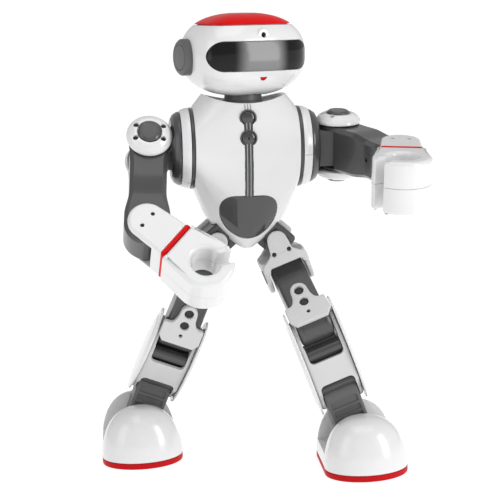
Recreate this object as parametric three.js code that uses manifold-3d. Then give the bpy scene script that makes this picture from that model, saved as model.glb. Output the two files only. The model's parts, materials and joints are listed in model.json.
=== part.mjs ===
// Walking humanoid robot toy, about 320 mm tall in a wide walking stance, with seventeen servo joints.
// Units are millimetres, +Z is up, the robot faces -Y and its own left is +X. The origin is on the floor,
// under the middle of the whole robot. Left and right are the robot's own.
import * as THREE from "three";
import { mergeVertices } from "three/addons/utils/BufferGeometryUtils.js";
import { ConvexGeometry } from "three/addons/geometries/ConvexGeometry.js";
import Module from "manifold-3d";

const wasm = await Module();
wasm.setup();

// ---- driving dimensions ----------------------------------------------------------------------
const GAP = 0.35; // air between neighbouring pieces
const WALL = 2.2; // moulded shell thickness
const ROUND = 24; // sides of a full circle

const HEAD = {
  width: 83, depth: 66, height: 57, rise: 64.2, planSquareness: 3, squareness: 2.4,
  capLine: 20.6, visorZ: 0, visorHalf: 38, visorHigh: 10,
  lensZ: 14, lensFront: 30.6, smileZ: -15.5,
};
const EAR = { back: 6, radius: 12.5, thickness: 8.3 };
const NECK = { radius: 14, topRadius: 12.5, base: 27, top: 39.6, bore: 9 };
const TORSO = {
  halfSide: 36, drumRadius: 29.2, top: 37, tip: -69, neckline: 80, necklineLow: 32,
  squareness: 2.3, sides: 32,
};
const SHOULDER = {
  axisX: 66.4, sealEnd: 38.2, collarEnd: 44.8, domeEnd: 51.2, blockRadius: 12, rimRadius: 28.2,
};
const ARM = { length: 65, thickness: 26.6, cheek: 2.2, halfWidth: 12.6, elbowRadius: 15.5 };
const CAP = { rimRadius: 16, topRadius: 10, height: 7.4 };
const FOREARM = { width: 26.5, thickness: 34, bandAt: 22.4, bandWidth: 2.2, gripAt: 48.7 };
const HAND = {
  width: 32, thickness: 34.8, outerRadius: 19.4, gripRadius: 10, slotWidth: 8.5, slotTurn: 52,
};
const HIP = {
  axisX: 20.8, drop: 64.4, boxSide: 20.5, boxTurn: 40, boxFront: 13.9, boxRear: 11, wingRear: 14,
  tabFront: 17, tabBack: 14.4, yoke: 24.4,
};
const THIGH = { length: 50.3, halfWidth: 12, halfDepth: 12, topRadius: 8.6, cover: 3.2 };
const SHIN = {
  length: 52.1, railInner: 13, railOuter: 15.6, front: -13.5, rear: 11, bandTop: -22.5, bandBottom: -39.5,
};
const PANEL = { halfLength: 39.5, halfWidth: 15.5, below: 23.8 };
const ANKLE = { length: 28, halfWidth: 12.4, halfDepth: 9.6, topRadius: 9.2 };
const FOOT = {
  axisHeight: 24.5, toeMiddle: -29, toeLength: 23, halfWidth: 28.6, soleThickness: 4.4, height: 39.5,
  heelMiddle: 10, heelRadius: 27, heelHeight: 41, outward: 2.5, wall: 2.4,
};
const BUTTON = { radius: 4.6, powerZ: 22.3, modeZ: 8.8 };

// ---- stance, in degrees and millimetres: the pose that the joints are measured from ----------
const STANCE = {
  shoulderHeight: 222.9,
  torsoLean: 2.1,
  headTurn: 20.9,
  left: { shoulder: 82.2, spread: 29.5, elbow: 41, hipSpread: 21.1, step: 31.6 },
  right: { shoulder: 37.5, spread: 4.4, elbow: 52.8, hipSpread: 20.8, step: -38.5 },
};

const PAINT = {
  white: { color: 0xf1f1f2, roughness: 0.25, metalness: 0 },
  grey: { color: 0x58595b, roughness: 0.4, metalness: 0 },
  dark: { color: 0x3a3b3d, roughness: 0.35, metalness: 0 },
  black: { color: 0x101113, roughness: 0.1, metalness: 0 },
  red: { color: 0xd9101c, roughness: 0.3, metalness: 0 },
  green: { color: 0x1c5a3a, roughness: 0.6, metalness: 0 },
  blue: { color: 0x2c4f8a, roughness: 0.5, metalness: 0 },
};

// ---- solids ----------------------------------------------------------------------------------
const rad = THREE.MathUtils.degToRad;

/** A closed three.js geometry as a manifold-3d solid. */
function solid(geometry) {
  const bare = geometry.clone();
  bare.deleteAttribute("normal");
  bare.deleteAttribute("uv");
  const merged = mergeVertices(bare, 1e-4);
  return new wasm.Manifold(
    new wasm.Mesh({
      numProp: 3,
      vertProperties: merged.attributes.position.array,
      triVerts: new Uint32Array(merged.index.array),
    }),
  );
}

/** A manifold-3d solid as a three.js geometry. */
function geometryOf(made) {
  const mesh = made.getMesh();
  const points = new Float32Array(mesh.numVert * 3);
  for (let i = 0; i < mesh.numVert; i++) {
    const at = i * mesh.numProp;
    points.set(mesh.vertProperties.subarray(at, at + 3), i * 3);
  }
  const geometry = new THREE.BufferGeometry();
  geometry.setAttribute("position", new THREE.BufferAttribute(points, 3));
  geometry.setIndex(new THREE.BufferAttribute(mesh.triVerts, 1));
  return geometry;
}

const join = (first, ...others) => others.reduce((a, b) => a.add(b), first);
const cut = (first, ...others) => others.reduce((a, b) => a.subtract(b), first);

/** A box between two corners. */
function box([x0, y0, z0], [x1, y1, z1]) {
  const made = new THREE.BoxGeometry(x1 - x0, y1 - y0, z1 - z0);
  return solid(made.translate((x0 + x1) / 2, (y0 + y1) / 2, (z0 + z1) / 2));
}

/** Turns a geometry built along +Y, or extruded along +Z, so that it runs along the named axis. */
const ALONG = {
  cylinder: { x: (g) => g.rotateZ(-Math.PI / 2), y: (g) => g, z: (g) => g.rotateX(Math.PI / 2) },
  // a shape's own x, y become Y, Z for axis x, and X, Z for axis y
  extrusion: {
    x: (g) => g.rotateX(Math.PI / 2).rotateZ(Math.PI / 2),
    y: (g) => g.rotateX(Math.PI / 2),
    z: (g) => g,
  },
};

/** A cylinder or cone from one place to another along an axis, about the point [x, y, z]. */
function rod(axis, radius, from, to, centre = [0, 0, 0], endRadius = radius, sides = ROUND) {
  const made = new THREE.CylinderGeometry(endRadius, radius, to - from, sides);
  const turned = ALONG.cylinder[axis](made.translate(0, (from + to) / 2, 0));
  return solid(turned.translate(...centre));
}

/** A flat outline extruded along an axis, from one place to another. */
function plate(axis, outline, from, to) {
  const made = new THREE.ExtrudeGeometry(outline, {
    depth: to - from,
    bevelEnabled: false,
    curveSegments: ROUND / 4,
  });
  made.translate(0, 0, axis === "y" ? -to : from);
  return solid(ALONG.extrusion[axis](made));
}

/** A closed shape through corner points, listed either way round. */
const outlineOf = (points) => new THREE.Shape(points.map(([x, y]) => new THREE.Vector2(x, y)));

const ellipseOf = (x, y, rx, ry) => new THREE.Shape().absellipse(x, y, rx, ry, 0, 2 * Math.PI);

/** A shape like a pulled-out circle: the hull outline of two circles on the shape's own y axis. */
function linkOf(topY, topRadius, bottomY, bottomRadius) {
  const lean = Math.asin((topRadius - bottomRadius) / (topY - bottomY));
  const made = new THREE.Shape();
  made.absarc(0, topY, topRadius, -lean, Math.PI + lean, false);
  made.absarc(0, bottomY, bottomRadius, Math.PI + lean, 2 * Math.PI - lean, false);
  return made;
}

/** cos or sin with its size raised to a power, which squares up a circle into a superellipse. */
const squared = (value, squareness) => Math.sign(value) * Math.abs(value) ** (2 / squareness);

/** A ball squared up in plan and in height: halves are its three half sizes. */
function superBall([a, b, c], planSquareness, heightSquareness) {
  const made = new THREE.SphereGeometry(1, 32, 16).rotateX(Math.PI / 2);
  const place = made.attributes.position;
  for (let i = 0; i < place.count; i++) {
    const around = Math.atan2(place.getY(i), place.getX(i));
    const up = Math.asin(THREE.MathUtils.clamp(place.getZ(i), -1, 1));
    const level = squared(Math.cos(up), heightSquareness);
    place.setXYZ(
      i,
      a * level * squared(Math.cos(around), planSquareness),
      b * level * squared(Math.sin(around), planSquareness),
      c * squared(Math.sin(up), heightSquareness),
    );
  }
  return solid(made);
}

// ---- assembly --------------------------------------------------------------------------------
/** A named mesh, added to its group, without the crumbs that its cuts leave. */
function piece(group, name, made, paint) {
  const material = new THREE.MeshStandardMaterial(PAINT[paint]);
  const whole = made.decompose().sort((a, b) => b.volume() - a.volume())[0];
  const mesh = new THREE.Mesh(geometryOf(whole), material);
  mesh.name = name;
  group.add(mesh);
}

/** A group at a joint, turned from its straight position by degrees about one of its own axes. */
function joint(parent, name, at, axis, degrees) {
  const group = new THREE.Group();
  group.name = name;
  group.userData.axis = axis;
  group.position.set(...at);
  group.rotation[axis] = rad(degrees);
  parent.add(group);
  return group;
}

// ---- torso: one egg-shaped casing, drawn about the middle of the shoulder axis ---------------
/** Height, half width and half depth of the egg's levels. */
const EGG = [
  [37, 29.5, 20.5],
  [28, 32, 25],
  [10, 33.6, 29],
  [-10, 34, 30.5],
  [-28, 33.6, 29.5],
  [-37, 32.2, 27.5],
  [-45, 29.2, 25],
  [-52, 24.8, 22.5],
  [-58, 19.6, 20.2],
  [-64, 13, 17.5],
  [-69, 5.5, 14],
];

function torsoBody(inset) {
  const points = [];
  const { sides } = TORSO;
  for (const [z, halfWidth, halfDepth] of EGG) {
    const level = z > 0 ? Math.min(z, TORSO.top - inset) : Math.max(z, TORSO.tip + inset);
    for (let i = 0; i < sides; i++) {
      const turn = (2 * Math.PI * i) / sides;
      const x = (halfWidth - inset) * squared(Math.cos(turn), TORSO.squareness);
      const y = (halfDepth - inset) * squared(Math.sin(turn), TORSO.squareness);
      points.push(new THREE.Vector3(x, y, level));
    }
  }
  for (const side of [-1, 1])
    for (let i = 0; i < sides; i++) {
      const turn = (2 * Math.PI * i) / sides;
      const radius = TORSO.drumRadius - inset;
      const x = side * (TORSO.halfSide - inset);
      points.push(new THREE.Vector3(x, radius * Math.cos(turn), radius * Math.sin(turn)));
    }
  return solid(new ConvexGeometry(points));
}

/** The outline of a hip servo box, a turned square with cut corners. */
function hipOutline(margin) {
  const half = HIP.boxSide / 2 + margin;
  const corner = half - 3;
  const points = [
    [corner, -half], [half, -corner], [half, corner], [corner, half],
    [-corner, half], [-half, corner], [-half, -corner], [-corner, -half],
  ];
  return outlineOf(points);
}

/** Both hip servo boxes and the bridge between them, grown by a margin. */
function pelvisBody(margin) {
  const boxes = [-1, 1].map((side) => {
    const made = plate("y", hipOutline(margin), -HIP.boxFront - margin, HIP.boxRear + margin);
    return made.rotate([0, side * HIP.boxTurn, 0]).translate([side * HIP.axisX, 0, -HIP.drop]);
  });
  const grown = 9 + margin;
  const bridge = box([-17 - margin, -grown, -65 - margin], [17 + margin, grown, -54 + margin]);
  const tip = box([-13 + margin, -40, -80], [13 - margin, -11 - margin, -40]);
  return cut(join(boxes[0], boxes[1], bridge), tip);
}

function buildTorso(torso) {
  const outer = torsoBody(0);
  const hollow = torsoBody(WALL);
  const neckHole = rod("z", NECK.radius + GAP, 20, 40);
  const hornHoles = rod("x", 8, -60, 60);
  const scoop = [0, 0, TORSO.necklineLow + TORSO.neckline];
  const neckline = rod("y", TORSO.neckline, -60, 60, scoop, TORSO.neckline, 3 * ROUND);
  const skin = cut(outer, hollow, pelvisBody(0.5), neckHole, hornHoles, neckline);
  const front = box([-60, -60, -90], [60, -GAP / 2, 60]);
  const rear = box([-60, GAP / 2, -90], [60, 60, 60]);

  const belly = new THREE.Shape();
  belly.moveTo(-10, -30.8);
  belly.bezierCurveTo(-17, -31.4, -19.9, -35, -19.9, -40.5);
  belly.bezierCurveTo(-19.9, -52, -9, -61.4, 0, -61.4);
  belly.bezierCurveTo(9, -61.4, 19.9, -52, 19.9, -40.5);
  belly.bezierCurveTo(19.9, -35, 17, -31.4, 10, -30.8);
  const stripEdge = [[-2.9, -31.4], [2.9, -31.4], [2.9, 31.6], [-2.9, 31.6]];
  const rings = (radius) => [
    rod("y", radius, -60, 0, [0, 0, BUTTON.powerZ]),
    rod("y", radius, -60, 0, [0, 0, BUTTON.modeZ]),
  ];
  const layer = cut(outer, torsoBody(WALL - 0.5));
  const bellyCut = plate("y", belly, -60, 0);
  const stripCut = join(plate("y", outlineOf(stripEdge), -60, 0), ...rings(BUTTON.radius + 1.4));
  const bellyPanel = cut(layer, torsoBody(WALL - 0.4)).intersect(bellyCut);

  piece(torso, "torso_front_shell", cut(skin.intersect(front), bellyCut, stripCut), "white");
  const rearDoor = box([-17, 0, -38], [17, 60, 8]);
  const wings = [-1, 1].map((side) =>
    plate("y", hipOutline(0), HIP.boxRear + GAP, HIP.wingRear)
      .rotate([0, side * HIP.boxTurn, 0])
      .translate([side * (HIP.axisX + 1.5), 0, -HIP.drop + 2]),
  );
  const wingRoot = box([-22, HIP.boxRear + GAP, -66], [22, HIP.wingRear, -52]);
  const shaft = (side) => rod("y", 5, 0, 40, [side * HIP.axisX, 0, -HIP.drop]);
  const rearSkin = join(cut(skin.intersect(rear), rearDoor), wingRoot, ...wings);
  piece(torso, "torso_rear_shell", cut(rearSkin, shaft(-1), shaft(1)), "white");
  const door = box([-17 + GAP, 0, -38 + GAP], [17 - GAP, 60, 8 - GAP]);
  piece(torso, "battery_cover", cut(outer, hollow).intersect(door), "white");
  piece(torso, "belly_panel", bellyPanel, "dark");
  const strip = cut(layer.intersect(stripCut), bellyCut, ...rings(BUTTON.radius + 0.3));
  piece(torso, "zip_strip", strip, "dark");
  piece(torso, "pelvis_frame", pelvisBody(0), "dark");
  const collar = rod("z", NECK.radius, NECK.base, NECK.top, [0, 0, 0], NECK.topRadius);
  piece(torso, "neck_collar", cut(collar, rod("z", NECK.bore, 20, 50)), "grey");
  piece(torso, "head_servo", box([-11, -8, 13], [11, 12, 26]), "black");
  piece(torso, "battery_pack", box([-15, 12.5, -36], [15, 21.5, 5]), "blue");
  piece(torso, "main_board", box([-19, -17.6, -30], [19, -16, 8]), "green");
  for (const [name, side] of [["left", 1], ["right", -1]]) {
    const inner = side > 0 ? 9.5 : -33;
    const servo = box([inner, -10, -11], [inner + 23.5, 10, 11]);
    piece(torso, `${name}_shoulder_servo`, servo, "black");
  }
  buildButton(torso, "power", BUTTON.powerZ, -27.9, 0);
  buildButton(torso, "mode", BUTTON.modeZ, -30.6, 1.1);
}

function buildButton(torso, name, height, front, holeRadius) {
  const group = joint(torso, `${name}_button_slide`, [0, front, height], "y", 0);
  const cap = rod("y", BUTTON.radius * 0.55, 0, 0.9, [0, 0, 0], BUTTON.radius - 0.3);
  const made = join(cap, rod("y", BUTTON.radius, 0.8, 6));
  const hole = rod("y", 1.1, -1, 2.5);
  piece(group, `${name}_button`, holeRadius ? cut(made, hole) : made, "dark");
}

// ---- head, drawn about its own middle --------------------------------------------------------
function headBody(inset) {
  const halves = [HEAD.width / 2 - inset, HEAD.depth / 2 - inset, HEAD.height / 2 - inset];
  return superBall(halves, HEAD.planSquareness, HEAD.squareness);
}

function stadium(x, z, halfWidth, halfHeight) {
  const made = new THREE.Shape();
  made.absarc(x + halfWidth - halfHeight, z, halfHeight, -Math.PI / 2, Math.PI / 2, false);
  made.absarc(x - halfWidth + halfHeight, z, halfHeight, Math.PI / 2, 1.5 * Math.PI, false);
  return made;
}

function buildHead(torso) {
  const head = joint(torso, "head_yaw", [0, 0, HEAD.rise], "z", STANCE.headTurn);
  const outer = headBody(0);
  const visorCut = (margin) =>
    plate("y", stadium(0, HEAD.visorZ, HEAD.visorHalf + margin, HEAD.visorHigh + margin), -80, -8);
  const above = (height) => box([-80, -80, height], [80, 80, 60]);
  const layer = (depth) => cut(outer, headBody(depth));
  const recess = (depth) => cut(headBody(-3), headBody(depth));
  const lens = rod("y", 2.1, -80, -20, [0, 0, HEAD.lensZ]);
  const boss = rod("y", 4.2, -HEAD.lensFront, -HEAD.lensFront + 3, [0, 0, HEAD.lensZ]);
  const smile = plate("y", stadium(0, HEAD.smileZ, 3.4, 0.9), -80, 0);
  const neckHole = rod("z", NECK.radius + 1, -60, 0);
  const shell = cut(
    join(outer, boss),
    headBody(WALL + 1),
    recess(1.7).intersect(visorCut(0.25)),
    recess(1.7).intersect(above(HEAD.capLine)),
    recess(1).intersect(smile),
    lens,
    neckHole,
  );
  piece(head, "head_shell", shell, "white");
  piece(head, "visor", layer(1.3).intersect(visorCut(0)), "black");
  piece(head, "head_cap", layer(1.3).intersect(above(HEAD.capLine + 0.3)), "red");
  piece(head, "smile", layer(0.8).intersect(smile), "red");
  const eye = rod("y", 1.8, -HEAD.lensFront + 0.3, -HEAD.lensFront + 5, [0, 0, HEAD.lensZ]);
  piece(head, "camera_lens", eye, "black");
  for (const [name, side] of [["left", 1], ["right", -1]]) {
    const from = HEAD.width / 2 - 4;
    const to = from + EAR.thickness;
    const drum = rod("x", EAR.radius, from, to - 1.3);
    const face = rod("x", EAR.radius, to - 1.3, to, [0, 0, 0], EAR.radius - 1.5);
    const dish = rod("x", EAR.radius - 4, to - 0.5, to + 1);
    const ear = cut(join(drum, face), dish, headBody(-0.5).translate([0, -EAR.back, 1]));
    const placed = side > 0 ? ear : ear.mirror([1, 0, 0]);
    piece(head, `${name}_ear`, placed.translate([0, EAR.back, -1]), "grey");
  }
}

// ---- arm: the shoulder swings about X, the arm lifts sideways and the elbow bends about Y ---
function handOutline() {
  const { outerRadius: radius, width } = HAND;
  const grip = -FOREARM.gripAt;
  const top = -(FOREARM.bandAt + FOREARM.bandWidth + GAP);
  const made = new THREE.Shape();
  // where a straight side that starts at the band touches the outer circle
  const reach = Math.hypot(width / 2, top - grip);
  const start = Math.atan2(top - grip, width / 2) - Math.acos(radius / reach);
  made.moveTo(-width / 2, top);
  made.lineTo(-radius * Math.cos(start), grip + radius * Math.sin(start));
  made.absarc(0, grip, radius, Math.PI - start, 2 * Math.PI + start, false);
  made.lineTo(width / 2, top);
  return made;
}

function buildArm(torso, name, side) {
  const stance = STANCE[name];
  const place = (made) => (side > 0 ? made : made.mirror([1, 0, 0]));
  const half = ARM.thickness / 2;

  const swing = joint(torso, `${name}_shoulder_pitch`, [0, 0, 0], "x", -stance.shoulder);
  const bore = rod("x", 19, 30, 60);
  const sealStart = TORSO.halfSide + GAP;
  const seal = cut(rod("x", SHOULDER.rimRadius, sealStart, SHOULDER.sealEnd), rod("x", 20, 30, 60));
  piece(swing, `${name}_shoulder_seal`, place(seal), "dark");
  const collarStart = SHOULDER.sealEnd + GAP;
  const collar = rod("x", SHOULDER.rimRadius, collarStart, SHOULDER.collarEnd, [0, 0, 0], 26.4);
  piece(swing, `${name}_shoulder_collar`, place(cut(collar, bore)), "white");
  const dome = join(
    rod("x", 25.8, SHOULDER.collarEnd + GAP, SHOULDER.domeEnd, [0, 0, 0], 20.2),
    rod("x", 5, TORSO.halfSide - 2.5, SHOULDER.collarEnd + 1),
  );
  const block = join(
    rod("y", SHOULDER.blockRadius, -half + 0.4, half - 0.4, [SHOULDER.axisX, 0, 0]),
    box([50, -half + 0.4, -9.5], [SHOULDER.axisX, half - 0.4, 9.5]),
  );
  const sweep = rod("y", 17, -30, 30, [SHOULDER.axisX, 0, 0]);
  const cheekRoom = cut(sweep, box([0, -half - 0.1, -30], [90, half + 0.1, 30]));
  piece(swing, `${name}_shoulder_fork`, place(cut(join(dome, block), cheekRoom)), "dark");

  const middle = [side * SHOULDER.axisX, 0, 0];
  const lift = joint(swing, `${name}_shoulder_roll`, middle, "y", -side * stance.spread);
  const cheek = half + ARM.cheek;
  const upper = new THREE.Shape();
  upper.absarc(0, 0, 14.6, 0.1, Math.PI - 0.1, false);
  upper.lineTo(-ARM.halfWidth, -34);
  upper.lineTo(ARM.halfWidth, -34);
  const lower = new THREE.Shape();
  lower.moveTo(-ARM.halfWidth, -25);
  lower.lineTo(-ARM.halfWidth, -48);
  lower.absarc(0, -ARM.length, ARM.elbowRadius, Math.PI - 0.5, 2 * Math.PI + 0.5, false);
  lower.lineTo(ARM.halfWidth, -48);
  lower.lineTo(ARM.halfWidth, -25);
  const slot = join(
    rod("y", SHOULDER.blockRadius + 0.5, -half - 0.1, half + 0.1),
    box([-30, -half - 0.1, -SHOULDER.blockRadius - 0.5], [30, half + 0.1, 30]),
  );
  const bar = join(plate("y", upper, -cheek, cheek), plate("y", lower, -half, half));
  piece(lift, `${name}_upper_arm`, cut(bar, slot), "dark");
  for (const [end, way] of [["front", -1], ["rear", 1]]) {
    const from = cheek + GAP;
    const cone = rod("y", CAP.rimRadius, from, from + CAP.height, [0, 0, 0], CAP.topRadius);
    const well = rod("y", 6.6, from + CAP.height - 2, from + 20);
    const made = cut(cone, well);
    piece(lift, `${name}_cap_${end}`, way > 0 ? made : made.mirror([0, 1, 0]), "white");
  }

  const bend = joint(lift, `${name}_elbow`, [0, 0, -ARM.length], "y", side * stance.elbow);
  const bandTop = -FOREARM.bandAt;
  const thick = FOREARM.thickness / 2;
  const sleeve = new THREE.Shape();
  sleeve.absarc(0, 0, FOREARM.width / 2, 0, Math.PI, false);
  sleeve.lineTo(-FOREARM.width / 2 - 1, bandTop);
  sleeve.lineTo(FOREARM.width / 2 + 1, bandTop);
  const elbowRoom = join(
    rod("y", ARM.elbowRadius + 4.5, -half - GAP, half + GAP),
    box([-30, -half - GAP, 0], [30, half + GAP, 30]),
    box([-9, -half + 2, bandTop + 1.6], [9, half - 2, 0]),
  );
  const screws = [-5.5, 5.5].map((x) => rod("y", 1.5, -20, -thick + 1, [x, 0, 0]));
  const forearm = cut(plate("y", sleeve, -thick, thick), elbowRoom, ...screws);
  piece(bend, `${name}_forearm`, forearm, "white");
  const bandHalf = FOREARM.width / 2 + 1.6;
  const bandDeep = thick + 0.4;
  const bandEnd = bandTop - FOREARM.bandWidth;
  const band = box([-bandHalf, -bandDeep, bandEnd], [bandHalf, bandDeep, bandTop - GAP]);
  piece(bend, `${name}_wrist_band`, band, "red");
  const deep = HAND.thickness / 2;
  const grip = [0, 0, -FOREARM.gripAt];
  const mouth = box([-HAND.slotWidth / 2, -30, 0], [HAND.slotWidth / 2, 30, 40])
    .rotate([0, 180 + side * HAND.slotTurn, 0])
    .translate(grip);
  const gripHole = rod("y", HAND.gripRadius, -30, 30, grip);
  const hand = cut(plate("y", handOutline(), -deep, deep), gripHole, mouth);
  piece(bend, `${name}_hand`, hand, "white");
}

// ---- leg: hip roll about Y, hip pitch, knee and ankle pitch about X, ankle roll about Y ------
/** The thigh's and the shin's forward lean that put a flat foot on the floor, a step ahead of the hip. */
function legLean(side, { hipSpread, step }) {
  const torsoLean = rad(STANCE.torsoLean);
  const sunk = side * HIP.axisX * Math.sin(torsoLean) + HIP.drop * Math.cos(torsoLean);
  const spread = rad(hipSpread) - side * torsoLean;
  const hipHeight = STANCE.shoulderHeight - sunk - FOOT.axisHeight;
  const down = hipHeight / Math.cos(spread) - HIP.yoke - ANKLE.length;
  const reach = Math.hypot(down, step);
  const lean = Math.atan2(step, down);
  const { length: thigh } = THIGH;
  const { length: shin } = SHIN;
  const above = Math.acos((thigh ** 2 + reach ** 2 - shin ** 2) / (2 * thigh * reach));
  const below = Math.acos((shin ** 2 + reach ** 2 - thigh ** 2) / (2 * shin * reach));
  const deg = THREE.MathUtils.radToDeg;
  return { thigh: deg(lean + above), shin: deg(lean - below) };
}

function buildLeg(torso, name, side) {
  const stance = STANCE[name];
  const lean = legLean(side, stance);
  const hipAt = [side * HIP.axisX, 0, -HIP.drop];
  const hip = joint(torso, `${name}_hip_roll`, hipAt, "y", -side * stance.hipSpread);

  const tab = new THREE.Shape();
  tab.absarc(0, 0, 6.8, 0, Math.PI, false);
  tab.lineTo(-7.6, -8);
  tab.lineTo(-16.5, -14.5);
  tab.lineTo(-16.5, -19);
  tab.lineTo(-11, -17);
  tab.lineTo(11, -17);
  tab.lineTo(16.5, -19);
  tab.lineTo(16.5, -14.5);
  tab.lineTo(7.6, -8);
  const tabScrews = [-5.5, 5.5].map((x) => rod("y", 1.4, -30, -HIP.tabFront + 1, [x, 0, -8.2]));
  const front = cut(plate("y", tab, -HIP.tabFront, -HIP.tabBack), ...tabScrews);
  const rear = plate("y", tab, HIP.tabBack, HIP.tabFront);
  const roof = box([-16.5, -HIP.tabFront, -15.7], [16.5, HIP.tabFront, -13.2]);
  const cheeks = [-16.5, 13.4].map((from) =>
    join(
      rod("x", 12.4, from, from + 3.1, [0, 0, -HIP.yoke]),
      box([from, -11, -24], [from + 3.1, 11, -14]),
    ),
  );
  piece(hip, `${name}_hip_yoke`, join(front, rear, roof, ...cheeks), "white");

  const thighGroup = joint(hip, `${name}_hip_pitch`, [0, 0, -HIP.yoke], "x", -lean.thigh);
  const thighSide = linkOf(0, THIGH.topRadius, -THIGH.length, THIGH.halfDepth);
  const body = plate("x", thighSide, -THIGH.halfWidth, THIGH.halfWidth);
  piece(thighGroup, `${name}_thigh`, body, "dark");
  const coverShape = new THREE.Shape();
  coverShape.absarc(0, -28.6, 6, 0, Math.PI, false);
  coverShape.bezierCurveTo(-6.5, -36, -9, -38.5, -14.8, -38.5);
  coverShape.lineTo(-14.8, -50);
  coverShape.lineTo(-11.5, -54);
  coverShape.lineTo(11.5, -54);
  coverShape.lineTo(14.8, -50);
  coverShape.lineTo(14.8, -38.5);
  coverShape.bezierCurveTo(9, -38.5, 6.5, -36, 6, -28.6);
  const holes = [[-28.6, 3.2], [-38.2, 3.2], [-46.2, 1.5]];
  const coverHoles = holes.map(([z, radius]) => rod("y", radius, -30, 0, [0, 0, z]));
  const roomSide = linkOf(0, THIGH.topRadius + GAP, -THIGH.length, THIGH.halfDepth + GAP);
  const wrap = cut(
    plate("y", coverShape, -THIGH.halfDepth - THIGH.cover, -8),
    plate("x", roomSide, -40, 40),
    ...coverHoles,
  );
  piece(thighGroup, `${name}_thigh_cover`, wrap, "white");

  const shin = joint(thighGroup, `${name}_knee`, [0, 0, -THIGH.length], "x", lean.thigh - lean.shin);
  buildShin(shin, name);

  const ankle = joint(shin, `${name}_ankle_pitch`, [0, 0, -SHIN.length], "x", lean.shin);
  const blockSide = linkOf(0, ANKLE.topRadius, -20, ANKLE.halfDepth);
  const roundEnd = rod("y", 9.6, -ANKLE.halfDepth, ANKLE.halfDepth, [0, 0, -ANKLE.length]);
  const neck = box([-9.6, -ANKLE.halfDepth, -ANKLE.length], [9.6, ANKLE.halfDepth, -18]);
  const block = join(plate("x", blockSide, -ANKLE.halfWidth, ANKLE.halfWidth), neck, roundEnd);
  piece(ankle, `${name}_ankle`, block.intersect(box([-40, -40, -37.2], [40, 40, 40])), "grey");

  const level = side * stance.hipSpread - STANCE.torsoLean;
  const foot = joint(ankle, `${name}_ankle_roll`, [0, 0, -ANKLE.length], "y", level);
  buildFoot(foot, name, side * FOOT.outward);
}

function buildShin(shin, name) {
  const { railInner: inner, railOuter: outer } = SHIN;
  const railSide = new THREE.Shape();
  railSide.absarc(0, 0, 8, 0, Math.PI, false);
  railSide.lineTo(SHIN.front, -18);
  railSide.lineTo(SHIN.front, -44);
  railSide.absarc(0, -SHIN.length, 8, Math.PI, 2 * Math.PI, false);
  railSide.lineTo(SHIN.rear, -44);
  railSide.lineTo(SHIN.rear, -18);
  const rails = [-outer, inner].map((from) => plate("x", railSide, from, from + outer - inner));
  const bandFront = box([-outer, SHIN.front, SHIN.bandBottom], [outer, SHIN.front + 2.5, SHIN.bandTop]);
  const bandRear = box([-outer, SHIN.rear - 2.4, SHIN.bandBottom], [outer, SHIN.rear, SHIN.bandTop]);
  piece(shin, `${name}_shin_frame`, join(...rails, bandFront, bandRear), "white");
  const servo = box([-inner + GAP, -9.6, -39], [inner - GAP, 7.4, -13.4]);
  piece(shin, `${name}_shin_servo`, servo, "black");
  const middle = -PANEL.below;
  const leaf = (scale) => ellipseOf(-1, middle, PANEL.halfWidth * scale, PANEL.halfLength * scale);
  for (const [which, way] of [["inner", -1], ["outer", 1]]) {
    const flip = name === "left" ? way : -way;
    const from = outer + GAP;
    const made = join(
      plate("x", leaf(1), from, from + 1.2),
      plate("x", leaf(0.9), from + 1.1, from + 2.2),
      plate("x", leaf(0.7), from + 2.1, from + 3),
    );
    piece(shin, `${name}_shin_panel_${which}`, flip > 0 ? made : made.mirror([1, 0, 0]), "white");
  }
}

/** The foot's outline on the floor: a broad toe and a round heel. */
function footPlan(grow) {
  const points = [];
  const steps = 14;
  for (let i = 0; i <= steps; i++) {
    const turn = Math.PI + (Math.PI * i) / steps;
    const ahead = (FOOT.toeLength + grow) * Math.sin(turn);
    points.push([(FOOT.halfWidth + grow) * Math.cos(turn), FOOT.toeMiddle + ahead]);
  }
  for (let i = 0; i <= steps; i++) {
    const turn = (Math.PI * i) / steps;
    const radius = FOOT.heelRadius + grow;
    points.push([radius * Math.cos(turn), FOOT.heelMiddle + radius * Math.sin(turn)]);
  }
  return outlineOf(points);
}

/** A dome above the foot's outline, about a middle on the floor, with its own reach ahead and behind. */
function footDome(inset, halfWidth, ahead, behind, middle, height) {
  const points = [];
  const rows = 7;
  const sides = 24;
  for (let row = 0; row < rows; row++) {
    const up = (row / (rows - 1)) * 0.97 * (Math.PI / 2);
    const level = Math.min(squared(Math.sin(up), 2.1), 1) * (height - FOOT.soleThickness - GAP - inset);
    const scale = squared(Math.cos(up), 2.6);
    for (let i = 0; i < sides; i++) {
      const turn = (2 * Math.PI * i) / sides;
      const along = Math.sin(turn) < 0 ? ahead : behind;
      const x = (halfWidth - inset) * scale * Math.cos(turn);
      const y = middle + (along - inset) * scale * Math.sin(turn);
      points.push(new THREE.Vector3(x, y, FOOT.soleThickness + GAP - FOOT.axisHeight + level));
    }
  }
  return solid(new ConvexGeometry(points));
}

function footSkin(inset) {
  const { halfWidth, toeLength, toeMiddle, height, heelRadius, heelMiddle, heelHeight } = FOOT;
  const toe = footDome(inset, halfWidth, toeLength, 34, toeMiddle, height);
  const heel = footDome(inset, heelRadius, 20, heelRadius, heelMiddle, heelHeight);
  const deck = FOOT.soleThickness + GAP - FOOT.axisHeight;
  return join(toe, heel, plate("z", footPlan(-inset), deck, deck + 9));
}

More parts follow.
